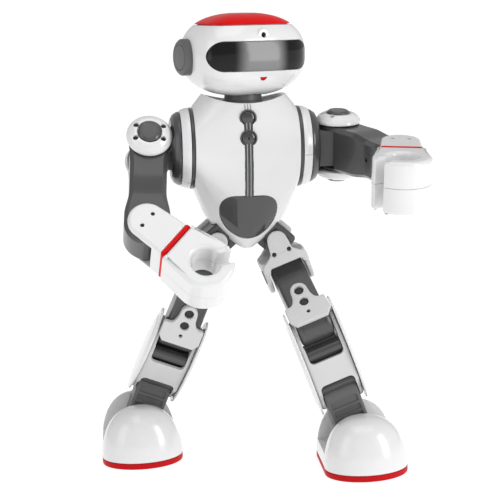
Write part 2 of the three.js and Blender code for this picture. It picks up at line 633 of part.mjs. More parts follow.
function buildFoot(foot, name, outward) {
  const floor = -FOOT.axisHeight;
  const sole = plate("z", footPlan(0.2), floor, floor + FOOT.soleThickness);
  piece(foot, `${name}_sole`, sole.translate([outward, 0, 0]), "red");
  const reach = ANKLE.halfDepth + 1.4;
  const slot = box([-60, -reach, -10.5], [60, reach, 60]);
  const well = box([-14, -reach, -19.2], [14, reach, 60]);
  const bulkhead = box([-60, -reach - FOOT.wall, -60], [60, reach + FOOT.wall, 60]);
  const hollow = cut(footSkin(FOOT.wall), bulkhead).translate([outward, 0, -3]);
  const skin = footSkin(0).translate([outward, 0, 0]);
  piece(foot, `${name}_foot_shell`, cut(skin, slot, well, hollow), "white");
}

const robot = new THREE.Group();
robot.name = "robot";
const torso = new THREE.Group();
torso.name = "torso";
torso.position.z = STANCE.shoulderHeight;
torso.rotation.y = rad(STANCE.torsoLean);
robot.add(torso);
buildTorso(torso);
buildHead(torso);
for (const [name, side] of [["left", 1], ["right", -1]]) {
  buildArm(torso, name, side);
  buildLeg(torso, name, side);
}

// the origin sits on the floor, under the middle of the robot's overall box
const overall = new THREE.Box3().setFromObject(robot, true);
const centre = overall.getCenter(new THREE.Vector3());
robot.position.set(-centre.x, -centre.y, -overall.min.z);

export default robot;
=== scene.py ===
"""Walking humanoid robot toy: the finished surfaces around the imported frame.

Every piece is drawn in millimetres in the frame of the joint that carries it (X to the robot's left, Y to
its back, Z up when the robot stands straight), and then placed and scaled to metres by that joint's own
frame. The left limbs are drawn, and the right ones are their mirror images.
"""

import json
import math

import bmesh
import bpy
from mathutils import Matrix, Vector
from mathutils.bvhtree import BVHTree
from mathutils.geometry import tessellate_polygon


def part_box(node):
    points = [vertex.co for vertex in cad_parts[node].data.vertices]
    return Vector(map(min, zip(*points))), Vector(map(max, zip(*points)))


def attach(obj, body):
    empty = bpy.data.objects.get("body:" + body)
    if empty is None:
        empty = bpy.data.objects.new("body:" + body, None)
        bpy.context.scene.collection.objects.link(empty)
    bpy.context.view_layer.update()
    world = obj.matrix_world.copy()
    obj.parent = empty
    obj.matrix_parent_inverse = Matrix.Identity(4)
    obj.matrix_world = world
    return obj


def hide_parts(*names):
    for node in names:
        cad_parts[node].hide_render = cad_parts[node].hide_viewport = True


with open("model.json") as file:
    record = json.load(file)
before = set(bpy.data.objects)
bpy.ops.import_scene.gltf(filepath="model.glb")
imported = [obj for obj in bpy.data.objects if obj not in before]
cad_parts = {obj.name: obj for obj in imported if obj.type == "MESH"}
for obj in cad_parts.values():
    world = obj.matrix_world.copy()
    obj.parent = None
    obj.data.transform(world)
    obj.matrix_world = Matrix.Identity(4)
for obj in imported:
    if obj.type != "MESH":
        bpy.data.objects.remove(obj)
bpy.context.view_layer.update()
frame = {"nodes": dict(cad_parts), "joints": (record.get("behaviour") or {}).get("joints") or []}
JOINTS = {j["name"]: j for j in frame["joints"]}
MM = 0.001
SIDES = ("left", "right")


# ---- frames of the moving bodies ------------------------------------------------------------------
def joint_at(name):
    return Vector(JOINTS[name]["pos_m"])


def joint_axis(name):
    return Vector(JOINTS[name]["axis"])


def middle(node):
    low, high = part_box(node)
    return (low + high) / 2


def frame_of(origin, x=None, y=None, z=None):
    """The millimetre frame at origin with two of its axes given, the first named one exactly."""
    if x is not None and y is not None:
        x = x.normalized()
        z = x.cross(y).normalized()
        y = z.cross(x)
    elif x is not None:
        x = x.normalized()
        y = z.cross(x).normalized()
        z = x.cross(y)
    else:
        y = y.normalized()
        x = y.cross(z).normalized()
        z = x.cross(y)
    turned = Matrix((x, y, z)).transposed().to_4x4()
    return Matrix.Translation(origin) @ turned @ Matrix.Scale(MM, 4)


BACK = Vector((0, 1, 0))
UP = Vector((0, 0, 1))
FRAMES = {"torso": frame_of(joint_at("left_shoulder_pitch"), x=joint_axis("left_shoulder_pitch"), y=BACK)}


def head_frame():
    z = joint_axis("head_yaw").normalized()
    forward = middle("camera_lens") - joint_at("head_yaw")
    y = -(forward - z * forward.dot(z))
    return frame_of(joint_at("head_yaw"), x=y.cross(z), y=y)


FRAMES["head"] = head_frame()
for side in SIDES:
    pitch, roll, elbow = (f"{side}_{name}" for name in ("shoulder_pitch", "shoulder_roll", "elbow"))
    FRAMES[f"{side}_shoulder"] = frame_of(joint_at(pitch), x=joint_axis(pitch), y=joint_axis(roll))
    FRAMES[f"{side}_upper_arm"] = frame_of(
        joint_at(roll), y=joint_axis(roll), z=joint_at(roll) - joint_at(elbow)
    )
    FRAMES[f"{side}_forearm"] = frame_of(
        joint_at(elbow), y=joint_axis(roll), z=joint_at(elbow) - middle(f"{side}_wrist_band")
    )
    hip, leg, knee = (f"{side}_{name}" for name in ("hip_roll", "hip_pitch", "knee"))
    ankle, foot = f"{side}_ankle_pitch", f"{side}_ankle_roll"
    across = joint_axis(leg)
    FRAMES[f"{side}_hip"] = frame_of(joint_at(hip), y=BACK, z=joint_at(hip) - joint_at(leg))
    FRAMES[f"{side}_thigh"] = frame_of(joint_at(leg), x=across, z=joint_at(leg) - joint_at(knee))
    FRAMES[f"{side}_shin"] = frame_of(joint_at(knee), x=across, z=joint_at(knee) - joint_at(ankle))
    FRAMES[f"{side}_ankle"] = frame_of(joint_at(ankle), x=across, z=joint_at(ankle) - joint_at(foot))
    FRAMES[f"{side}_foot"] = frame_of(joint_at(foot), x=Vector((1, 0, 0)), z=UP)


# ---- outlines -------------------------------------------------------------------------------------
def arc(x, y, radius, start, end, steps=16):
    """Points on an arc about (x, y), from one angle to another in degrees."""
    turns = [math.radians(start + (end - start) * i / steps) for i in range(steps + 1)]
    return [(x + radius * math.cos(turn), y + radius * math.sin(turn)) for turn in turns]


def fillet(before, here, after, radius, steps):
    """Points round the corner at here, between the points before and after it."""
    before, after = before - here, after - here
    half_turn = before.angle(after) / 2
    reach = min(radius / math.tan(half_turn), 0.49 * before.length, 0.49 * after.length)
    radius = reach * math.tan(half_turn)
    middle_way = (before.normalized() + after.normalized()).normalized()
    centre = here + middle_way * radius / math.sin(half_turn)
    first = here + before.normalized() * reach - centre
    last = here + after.normalized() * reach - centre
    sweep = first.angle_signed(last)
    return [centre + Matrix.Rotation(-sweep * step / steps, 2) @ first for step in range(steps + 1)]


def filleted(corners, steps, sharp=()):
    """Points through corners (x, y) or (x, y, radius), with the corners numbered in sharp left alone."""
    spots = [Vector(corner[:2]) for corner in corners]
    points = []
    for i, corner in enumerate(corners):
        if i in sharp or len(corner) < 3 or not corner[2]:
            points.append(spots[i])
        else:
            points += fillet(spots[i - 1], spots[i], spots[(i + 1) % len(spots)], corner[2], steps)
    return points


def rounded(corners, steps=6):
    """A closed outline through corners (x, y) or (x, y, radius), counter-clockwise."""
    points = filleted(corners, steps)
    area = sum(a.x * b.y - b.x * a.y for a, b in zip(points, points[1:] + points[:1]))
    return points if area > 0 else points[::-1]


def rectangle(left, low, right, high, radius, steps=6):
    corners = [(left, low), (right, low), (right, high), (left, high)]
    return rounded([(*corner, radius) for corner in corners], steps)


def offset(loop, distance):
    """The loop moved to its left by a distance, with mitred corners."""
    moved = []
    for i, point in enumerate(loop):
        into = (point - loop[i - 1]).normalized()
        out = (loop[(i + 1) % len(loop)] - point).normalized()
        first, second = Vector((-into.y, into.x)), Vector((-out.y, out.x))
        share = max(1 + first.dot(second), 0.3)
        moved.append(point + (first + second) * distance / share)
    return moved


def circle(x, y, radius, steps=32):
    return [Vector(p) for p in arc(x, y, radius, 0, 360 - 360 / steps, steps - 1)]


# ---- meshes ---------------------------------------------------------------------------------------
SPREAD = {
    "x": lambda u, v, h: (h, u, v),
    "y": lambda u, v, h: (u, h, v),
    "z": lambda u, v, h: (u, v, h),
}


def mesh_of(points, faces):
    made = bmesh.new()
    corners = [made.verts.new(p) for p in points]
    for face in faces:
        made.faces.new([corners[i] for i in face])
    bmesh.ops.remove_doubles(made, verts=made.verts, dist=1e-5)
    bmesh.ops.dissolve_degenerate(made, edges=made.edges, dist=1e-6)
    bmesh.ops.recalc_face_normals(made, faces=made.faces)
    mesh = bpy.data.meshes.new("made")
    made.to_mesh(mesh)
    made.free()
    return mesh


def slab(outline, low, high, edge=0.6, along="y", holes=(), steps=3, low_edge=None):
    """An outline extruded along an axis, with its edges and the edges of its holes rounded."""
    low_edge = edge if low_edge is None else low_edge
    loops = [[Vector(p) for p in outline]] + [[Vector(p) for p in hole][::-1] for hole in holes]
    quarter = [math.pi / 2 * i / steps for i in range(steps + 1)]
    rings = [(low_edge * (1 - math.sin(t)), low + low_edge * (1 - math.cos(t))) for t in quarter]
    rings += [(edge * (1 - math.sin(t)), high - edge * (1 - math.cos(t))) for t in reversed(quarter)]
    to_3d = SPREAD[along]
    points, faces, caps = [], [], {0: [], len(rings) - 1: []}
    for loop in loops:
        starts = []
        for index, (inset, height) in enumerate(rings):
            moved = offset(loop, inset) if inset else loop
            starts.append(len(points))
            points += [to_3d(p.x, p.y, height) for p in moved]
            if index in caps:
                caps[index].append((starts[-1], moved))
        count = len(loop)
        for a, b in zip(starts, starts[1:]):
            faces += [(a + i, a + (i + 1) % count, b + (i + 1) % count, b + i) for i in range(count)]
    for cap in caps.values():
        numbers = [start + i for start, moved in cap for i in range(len(moved))]
        flat = [[p.to_3d() for p in moved] for _, moved in cap]
        faces += [tuple(numbers[i] for i in triangle) for triangle in tessellate_polygon(flat)]
    return mesh_of(points, faces)


def loft(rings):
    """A skin through closed rings of equally many points, with its two ends filled."""
    points = [p for ring in rings for p in ring]
    count = len(rings[0])
    faces = []
    for row in range(len(rings) - 1):
        a, b = row * count, (row + 1) * count
        faces += [(a + i, a + (i + 1) % count, b + (i + 1) % count, b + i) for i in range(count)]
    faces += [tuple(range(count)), tuple(range(len(points) - count, len(points)))]
    return mesh_of(points, faces)


def lathe(profile, along="y", sides=64, centre=(0, 0, 0)):
    """A turned solid from a profile of (radius, place) points, whose ends are flat or on the axis."""
    rings = []
    for radius, place in profile:
        ring = [(max(radius, 1e-3) * math.cos(t), max(radius, 1e-3) * math.sin(t)) for t in turns(sides)]
        rings.append([Vector(SPREAD[along](u, v, place)) + Vector(centre) for u, v in ring])
    return loft(rings)


def turns(sides):
    return [2 * math.pi * i / sides for i in range(sides)]


def softened(profile, steps=4):
    """A profile of (radius, place, corner radius) with its corners rounded, open at both ends."""
    return [(p.x, p.y) for p in filleted(profile, steps, sharp=(0, len(profile) - 1))]


def pin(radius, low, high, edge, sides=40, centre=(0, 0, 0)):
    """A cylinder along X with rounded rims."""
    profile = [(0, low), (radius, low, edge), (radius, high, edge), (0, high)]
    return lathe(softened(profile, 3), "x", sides, centre)


def rod(radius, low, high, along="y", sides=64, centre=(0, 0, 0)):
    """A plain cylinder between two places on its axis."""
    return lathe([(0, low), (radius, low), (radius, high), (0, high)], along, sides, centre)


def ring_of(inner, outer, low, high, along="y", edge=0.4, sides=64, centre=(0, 0, 0)):
    """A turned ring with a rounded rectangular section."""
    section = rectangle(inner, low, outer, high, edge, 3)
    return turned_ring(section, along, sides, centre)


def turned_ring(section, along="y", sides=64, centre=(0, 0, 0)):
    """A closed section of (radius, place) points turned about an axis."""
    points, faces, count = [], [], len(section)
    for turn in turns(sides):
        for radius, place in section:
            spot = SPREAD[along](radius * math.cos(turn), radius * math.sin(turn), place)
            points.append(Vector(spot) + Vector(centre))
    for side in range(sides):
        a, b = side * count, (side + 1) % sides * count
        faces += [(a + i, a + (i + 1) % count, b + (i + 1) % count, b + i) for i in range(count)]
    return mesh_of(points, faces)


def box(low, high, edge=0.5):
    (x0, y0, z0), (x1, y1, z1) = low, high
    return slab(rectangle(x0, z0, x1, z1, edge, 3), y0, y1, edge)


def boolean(first, second, how):
    """The first mesh cut by, joined to or kept inside the second, which are both used up."""
    pair = [bpy.data.objects.new("step", mesh) for mesh in (first, second)]
    for each in pair:
        bpy.context.scene.collection.objects.link(each)
    step = pair[0].modifiers.new("step", "BOOLEAN")
    step.object, step.operation, step.solver = pair[1], how, "MANIFOLD"
    view = bpy.context.evaluated_depsgraph_get()
    made = bpy.data.meshes.new_from_object(pair[0].evaluated_get(view))
    for each in pair:
        mesh = each.data
        bpy.data.objects.remove(each)
        bpy.data.meshes.remove(mesh)
    return made


def cut(first, *others):
    for other in others:
        first = boolean(first, other, "DIFFERENCE")
    return first


def join(first, *others):
    for other in others:
        first = boolean(first, other, "UNION")
    return first


def keep(first, other):
    return boolean(first, other, "INTERSECT")


def moved(mesh, by=(0, 0, 0), turn=0.0, about="y"):
    """The mesh turned by degrees about an axis through the origin, then moved."""
    mesh.transform(Matrix.Translation(by) @ Matrix.Rotation(math.radians(turn), 4, about.upper()))
    return mesh


def copied(mesh, mirror=None):
    other = mesh.copy()
    if mirror:
        scale = Vector([-1 if axis == mirror else 1 for axis in "xyz"])
        other.transform(Matrix.Diagonal(scale.to_4d()))
        other.flip_normals()
    return other


def merged(*meshes):
    """Meshes of separate closed bodies in one mesh."""
    made = bmesh.new()
    for mesh in meshes:
        made.from_mesh(mesh)
        bpy.data.meshes.remove(mesh)
    whole = bpy.data.meshes.new("made")
    made.to_mesh(whole)
    made.free()
    return whole


def skin_of(mesh):
    """A function that gives the front surface's y at (x, z)."""
    tree = BVHTree.FromPolygons([v.co for v in mesh.vertices], [p.vertices for p in mesh.polygons])

    def front(x, z):
        hit = tree.ray_cast(Vector((x, -500, z)), BACK)[0]
        return hit.y if hit else 0.0

    return front


def drape(outline, front, depth, proud=0.0, edge=0.5, rows=8):
    """A panel with a rounded rim that lies on a front surface, from proud of it to depth behind it."""
    loop = [Vector(p) for p in outline]
    centre = sum(loop, Vector((0, 0))) / len(loop)
    shape = [(0.0, depth), (0.0, edge - proud)]
    shape += [(edge * (1 - math.sin(t)), edge * (1 - math.cos(t)) - proud) for t in (1.1, 0.7, 0.35, 0)]
    plans = [(offset(loop, inset) if inset else loop, drop) for inset, drop in shape]
    last = plans[-1][0]
    for row in range(1, rows):
        share = 1 - row / rows
        plans.append(([centre + (p - centre) * share for p in last], -proud))
    rings = [[(p.x, front(p.x, p.y) + drop, p.y) for p in plan] for plan, drop in plans]
    back = [[(x, y + depth + proud, z) for x, y, z in ring] for ring in reversed(rings[len(shape) :])]
    return loft(back + rings)


# ---- materials ------------------------------------------------------------------------------------
def plastic(name, colour, roughness, coat=0.0, coat_roughness=0.05, grain=0.02, mottle=0.03, specular=0.5):
    """Moulded plastic: a faint mottle in its colour, uneven gloss, and a fine moulded grain."""
    made = bpy.data.materials.new(name)
    made.use_nodes = True
    nodes, links = made.node_tree.nodes, made.node_tree.links
    shader = nodes["Principled BSDF"]
    shader.inputs["IOR"].default_value = 1.49
    shader.inputs["Specular IOR Level"].default_value = specular
    shader.inputs["Coat Weight"].default_value = coat
    shader.inputs["Coat Roughness"].default_value = coat_roughness
    place = nodes.new("ShaderNodeTexCoord")

    cloud = nodes.new("ShaderNodeTexNoise")
    cloud.inputs["Scale"].default_value = 35
    cloud.inputs["Detail"].default_value = 3
    links.new(place.outputs["Object"], cloud.inputs["Vector"])
    tint = nodes.new("ShaderNodeValToRGB")
    tint.color_ramp.elements[0].position = 0.3
    tint.color_ramp.elements[1].position = 0.7
    tint.color_ramp.elements[0].color = [c * (1 - mottle) for c in colour] + [1]
    tint.color_ramp.elements[1].color = [min(1, c * (1 + mottle)) for c in colour] + [1]
    links.new(cloud.outputs["Fac"], tint.inputs["Fac"])
    links.new(tint.outputs["Color"], shader.inputs["Base Color"])

    gloss = nodes.new("ShaderNodeMapRange")
    gloss.inputs["To Min"].default_value = roughness * 0.85
    gloss.inputs["To Max"].default_value = roughness * 1.15
    links.new(cloud.outputs["Fac"], gloss.inputs["Value"])
    links.new(gloss.outputs["Result"], shader.inputs["Roughness"])

    fine = nodes.new("ShaderNodeTexNoise")
    fine.inputs["Scale"].default_value = 900
    fine.inputs["Detail"].default_value = 2
    links.new(place.outputs["Object"], fine.inputs["Vector"])
    bump = nodes.new("ShaderNodeBump")
    bump.inputs["Strength"].default_value = grain
    bump.inputs["Distance"].default_value = 0.0003
    links.new(fine.outputs["Fac"], bump.inputs["Height"])
    links.new(bump.outputs["Normal"], shader.inputs["Normal"])
    return made


def grey(value):
    return (value, value, value * 1.01)


PAINT = {
    "white_gloss": plastic("white_gloss_plastic", grey(0.76), 0.22, coat=0.7, mottle=0.012),
    "white_satin": plastic("white_satin_plastic", grey(0.62), 0.42, grain=0.05, mottle=0.015),
    "dark_satin": plastic("dark_satin_plastic", grey(0.056), 0.3, coat=0.3, grain=0.05, mottle=0.08),
    "grey_satin": plastic("grey_satin_plastic", grey(0.11), 0.4, grain=0.05, mottle=0.05),
    "light_grey": plastic("light_grey_plastic", grey(0.36), 0.35, grain=0.03, mottle=0.04),
    # the visor's base colour is overwritten below by a painted reflection band
    "visor_gloss": plastic("visor_plastic", grey(0.006), 0.12, specular=0.3, grain=0.0),
    "lens_glass": plastic("lens_glass", grey(0.002), 0.3, specular=0.2, grain=0.0),
    "red_gloss": plastic("red_gloss_plastic", (0.7, 0.001, 0.003), 0.28, specular=0.1, mottle=0.03),
    "belly_gloss": plastic("belly_plastic", grey(0.036), 0.12, coat=0.8, coat_roughness=0.03, grain=0.01),
    "servo_case": plastic("servo_plastic", grey(0.018), 0.45, grain=0.1, mottle=0.1),
    "hole_black": plastic("hole_plastic", grey(0.002), 0.8, mottle=0.2),
    "screw_black": plastic("screw_metal", grey(0.012), 0.3, grain=0.03, mottle=0.2),
    "sole_rubber": plastic("sole_rubber", (0.5, 0.001, 0.004), 0.45, specular=0.15, grain=0.12, mottle=0.05),
    "board": plastic("board_mask", (0.02, 0.14, 0.06), 0.4, grain=0.05, mottle=0.1),
    "cell_wrap": plastic("cell_wrap_film", (0.04, 0.1, 0.33), 0.3, coat=0.3, grain=0.03, mottle=0.05),
}
SHARP = math.radians(32)
VISOR_HALF, VISOR_HIGH = 38, 10


def paint_visor_reflection(made):
    """A black visor with a painted reflection: a paler grey band across its middle, fading to black towards
    both ends, standing in for the studio light mirrored in the glossy panel.
    """
    nodes, links = made.node_tree.nodes, made.node_tree.links
    shader = nodes["Principled BSDF"]
    turned = FRAMES["head"]
    across = turned.to_3x3().col[0].normalized()
    place = nodes.new("ShaderNodeTexCoord")
    along = nodes.new("ShaderNodeVectorMath")
    along.operation = "DOT_PRODUCT"
    along.inputs[1].default_value = across
    links.new(place.outputs["Object"], along.inputs[0])
    start = turned.translation.dot(across)
    share = nodes.new("ShaderNodeMapRange")
    share.inputs["From Min"].default_value = start - VISOR_HALF * MM
    share.inputs["From Max"].default_value = start + VISOR_HALF * MM
    links.new(along.outputs["Value"], share.inputs["Value"])
    tint = nodes.new("ShaderNodeValToRGB")
    tint.color_ramp.interpolation = "EASE"
    # black at both ends, pale grey in the middle: the painted reflection band
    first, *between, last = ((0.0, 0.004), (0.2, 0.005), (0.36, 0.22), (0.62, 0.22), (0.76, 0.005))
    stops = tint.color_ramp.elements
    for place_on, value in between:
        stops.new(place_on).color = (value, value, value, 1)
    stops[0].color = (first[1],) * 3 + (1,)
    stops[-1].position = last[0]
    stops[-1].color = (last[1],) * 3 + (1,)
    links.new(share.outputs["Result"], tint.inputs["Fac"])
    links.new(tint.outputs["Color"], shader.inputs["Base Color"])


# paints the reflection band into the visor's colour
paint_visor_reflection(PAINT["visor_gloss"])


def put(name, mesh, body, paint, replaces=(), at=None):
    """Places a mesh drawn in a body's frame, as a piece that rides on that body."""
    mesh.transform(FRAMES[at or body])
    mesh.name = name
    mesh.shade_smooth()
    mesh.set_sharp_from_angle(angle=SHARP)
    mesh.materials.clear()
    mesh.materials.append(PAINT[paint])
    piece = bpy.data.objects.new(name, mesh)
    bpy.context.scene.collection.objects.link(piece)
    even = piece.modifiers.new("even normals", "WEIGHTED_NORMAL")
    even.keep_sharp = True
    even.weight = 60
    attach(piece, body)
    if replaces:
        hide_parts(*replaces)
    return piece


def both(name, mesh, body, paint, replaces=()):
    """The left piece as drawn and the right piece as its mirror image."""
    right = copied(mesh, "x")
    put(f"left_{name}_look", mesh, f"left_{body}", paint, [f"left_{n}" for n in replaces])
    put(f"right_{name}_look", right, f"right_{body}", paint, [f"right_{n}" for n in replaces])


# ---- head -----------------------------------------------------------------------------------------
HEAD = Vector((41.5, 33, 28.5))
PLAN, RISE = 3, 2.4
CAP_LINE = 20.6
LID = CAP_LINE + 0.3
LENS_Z = 14


def powered(value, squareness):
    return math.copysign(abs(value) ** (2 / squareness), value)


def head_ring(height, inset=0.0, sides=120):
    """The head's outline at a height, as points."""
    half = HEAD - Vector((inset, inset, inset))
    level = max(0.0, 1 - abs(height / half.z) ** RISE) ** (1 / RISE)
    ring = []
    for turn in turns(sides):
        x = half.x * level * powered(math.cos(turn), PLAN)
        ring.append((x, half.y * level * powered(math.sin(turn), PLAN), height))
    return ring


def head_ball(inset=0.0, low=-1.0, high=1.0, rows=56):
    """The head's squared ball between two heights, given as shares of its half height."""
    top = HEAD.z - inset
    turns_up = [math.asin(low), math.asin(high)]
    steps = [turns_up[0] + (turns_up[1] - turns_up[0]) * i / rows for i in range(rows + 1)]
    heights = [top * powered(math.sin(t), RISE) for t in steps]
    return loft([head_ring(min(max(h, -top), top) * 0.99999, inset) for h in heights])


def head_front(x, z):
    level = max(0.0, 1 - abs(z / HEAD.z) ** RISE) ** (1 / RISE)
    return -HEAD.y * max(0.0, level**PLAN - abs(x / HEAD.x) ** PLAN) ** (1 / PLAN)


def stadium(x, z, half_width, half_height, steps=20):
    reach = half_width - half_height
    right = arc(x + reach, z, half_height, -90, 90, steps)
    left = arc(x - reach, z, half_height, 90, 270, steps)
    straight = [-0.75, -0.5, -0.25, 0, 0.25, 0.5, 0.75]
    top = [(x - reach * s, z + half_height) for s in straight]
    bottom = [(x + reach * s, z - half_height) for s in straight]
    return [Vector(p) for p in right + top + left + bottom]


def build_head():
    visor = stadium(0, 0, VISOR_HALF, VISOR_HIGH)
    lens_at = (0, 0, LENS_Z)
    boss = lathe(softened([(0, -30.6), (4.1, -30.6, 0.7), (4.4, -26), (0, -26)]), sides=40, centre=lens_at)
    smile = rounded([(-2.8, -14.3, 0.2), (2.8, -14.3, 0.2), (1.3, -16.6, 1.6), (-1.3, -16.6, 1.6)], 6)
    shell = head_ball()
    lid_gap = cut(
        loft([head_ring(CAP_LINE - 0.3, -3), head_ring(LID, -3)]),
        loft([head_ring(CAP_LINE - 1, 1.2), head_ring(CAP_LINE + 1, 1.2)]),
    )
    shell = cut(
        join(shell, boss),
        drape(offset(visor, -0.35), lambda x, z: head_front(x, z) - 3, 4.2, edge=0.01),
        drape(offset(smile, -0.12), lambda x, z: head_front(x, z) - 2, 2.8, edge=0.01),
        rod(1.9, -33, -24, sides=32, centre=lens_at),
        rod(15, -40, -18, along="z"),
        lid_gap,
        loft([head_ring(LID, -2), head_ring(26, -6), head_ring(27, -20)]),
    )
    put("head_shell_look", shell, "head", "white_gloss", ["head_shell"])
    put("visor_look", drape(visor, head_front, 1.6, proud=-0.25, edge=0.5, rows=14), "head", "visor_gloss",
        ["visor"])
    heights = [LID + (HEAD.z - CAP_LINE - 0.3) * (1 - (1 - i / 14) ** 2) for i in range(15)]
    lip = [(0.6, 0), (0.15, 0.12), (-0.15, 0.4), (-0.3, 0.8)]
    rings = [head_ring(LID, 5)]
    rings += [head_ring(LID + rise, inset) for inset, rise in lip]
    for height in heights[2:]:
        share = (height - CAP_LINE) / (HEAD.z - CAP_LINE)
        rings.append(head_ring(min(height, HEAD.z - 0.2), -0.3 * (1 - share) ** 0.5))
    put("head_cap_look", loft(rings), "head", "red_gloss", ["head_cap"])
    lips = drape(smile, head_front, 0.8, proud=-0.1, edge=0.2, rows=3)
    put("smile_look", lips, "head", "sole_rubber", ["smile"])
    eye = lathe([(0, -30.0), (0.9, -29.85), (1.5, -29.4), (1.8, -28.8), (1.8, -25), (0, -25)], sides=32,
                centre=lens_at)
    put("camera_lens_look", eye, "head", "lens_glass", ["camera_lens"])
    profile = [(0, 36), (12.5, 36), (12.5, 43.6, 0.6), (11.4, 44.9, 0.5), (9.6, 45.5, 0.4), (8.95, 45.5),
               (8.8, 45.1), (8.5, 45.1), (8.35, 45.6), (4, 45.78), (0, 45.8)]
    ear = lathe(softened(profile, 3), along="x", sides=72, centre=(0, 6, -1))
    ear = cut(ear, loft([head_ring(h, 1.5) for h in (-20, -10, 0, 10, 20)]))
    for name, mesh in (("left", copied(ear)), ("right", copied(ear, "x"))):
        put(f"{name}_ear_look", mesh, "head", "grey_satin", [f"{name}_ear"])


# ---- torso ----------------------------------------------------------------------------------------
# height, half width and half depth of the egg's levels
EGG = [
    (37, 29.5, 20.5), (28, 32, 25), (10, 33.6, 29), (-10, 34, 30.5), (-28, 33.6, 29.5), (-37, 32.2, 27.5),
    (-45, 29.2, 25), (-52, 24.8, 22.5), (-58, 19.6, 20.2), (-64, 13, 17.5), (-69, 5.5, 14),
]
DRUM_RADIUS, DRUM_REACH, EGG_SQUARENESS, TOP = 29.2, 36, 2.3, 37


def spline(values, share):
    """A smooth value between levels, where share runs from 0 to the number of gaps."""
    i = min(int(share), len(values) - 2)
    t = share - i
    before = values[i - 1] if i > 0 else 2 * values[0] - values[1]
    after = values[i + 2] if i + 2 < len(values) else 2 * values[-1] - values[-2]
    a, b = values[i], values[i + 1]
    return 0.5 * (
        2 * a + (b - before) * t + (2 * before - 5 * a + 4 * b - after) * t**2
        + (3 * a - before - 3 * b + after) * t**3
    )


def torso_body(inset=0.0):
    points = []
    steps = 60
    for step in range(steps + 1):
        share = (len(EGG) - 1) * step / steps
        z, width, depth = (spline([level[i] for level in EGG], share) for i in range(3))
        for turn in turns(112):
            x = (width - inset) * powered(math.cos(turn), EGG_SQUARENESS)
            y = (depth - inset) * powered(math.sin(turn), EGG_SQUARENESS)
            points.append((x, y, min(z, TOP - inset)))
    for side in (-1, 1):
        for reach, radius in ((DRUM_REACH, DRUM_RADIUS - 0.5), (DRUM_REACH - 0.5, DRUM_RADIUS)):
            for turn in turns(112):
                x = side * (reach - inset)
                points.append((x, (radius - inset) * math.cos(turn), (radius - inset) * math.sin(turn)))
    made = bmesh.new()
    for point in points:
        made.verts.new(point)
    bmesh.ops.convex_hull(made, input=made.verts, use_existing_faces=False)
    bmesh.ops.delete(made, geom=[v for v in made.verts if not v.link_faces], context="VERTS")
    bmesh.ops.recalc_face_normals(made, faces=made.faces)
    mesh = bpy.data.meshes.new("hull")
    made.to_mesh(mesh)
    made.free()
    return mesh


HIP_X, HIP_Z, HIP_TURN, HIP_HALF = 20.8, -64.4, 40, 10.25


def hip_outline(margin):
    half = HIP_HALF + margin
    return rectangle(-half, -half, half, half, 3, 4)


def pelvis_block(margin, edge=1.2):
    """Both turned hip servo boxes and the bridge between them."""
    boxes = []
    for side in (-1, 1):
        made = slab(hip_outline(margin), -13.9 - margin, 11 + margin, edge)
        boxes.append(moved(made, (side * HIP_X, 0, HIP_Z), side * HIP_TURN))
    bridge = box((-17 - margin, -9 - margin, -65 - margin), (17 + margin, 9 + margin, -54 + margin), 0.8)
    tip = box((-13 + margin, -40, -80), (13 - margin, -11 - margin, -40), 0.1)
    return cut(join(boxes[0], boxes[1], bridge), tip)


def belly_outline(steps=14):
    """The belly panel: a flat top, round shoulders and a bowl below."""
    ends = [
        ((10, -30.8), (17, -31.4), (19.9, -35), (19.9, -40.5)),
        ((19.9, -40.5), (19.9, -52), (9, -61.4), (0, -61.4)),
        ((0, -61.4), (-9, -61.4), (-19.9, -52), (-19.9, -40.5)),
        ((-19.9, -40.5), (-19.9, -35), (-17, -31.4), (-10, -30.8)),
    ]
    points = []
    for a, b, c, d in ends:
        a, b, c, d = map(Vector, (a, b, c, d))
        for i in range(steps):
            t = i / steps
            points.append(a * (1 - t) ** 3 + b * 3 * t * (1 - t) ** 2 + c * 3 * t**2 * (1 - t) + d * t**3)
    points += [Vector((-10 + 20 * i / 8, -30.8)) for i in range(8)]
    return points[::-1]


def zip_bar(front, centre, width, low, high, proud, depth, rows=24):
    """A narrow bar that follows the torso's front from one height to another."""
    rings = []
    half = width / 2
    for row in range(rows + 1):
        z = low + (high - low) * row / rows
        y = front(centre, z)
        section = [(-half, depth), (-half, -proud + 0.15), (-half + 0.15, -proud), (half - 0.15, -proud),
                   (half, -proud + 0.15), (half, depth)]
        rings.append([(centre + x, y + drop, z) for x, drop in section])
    return loft(rings)


BUTTON_Z = (22.3, 8.8)
STRIP = (-31, 25.0)


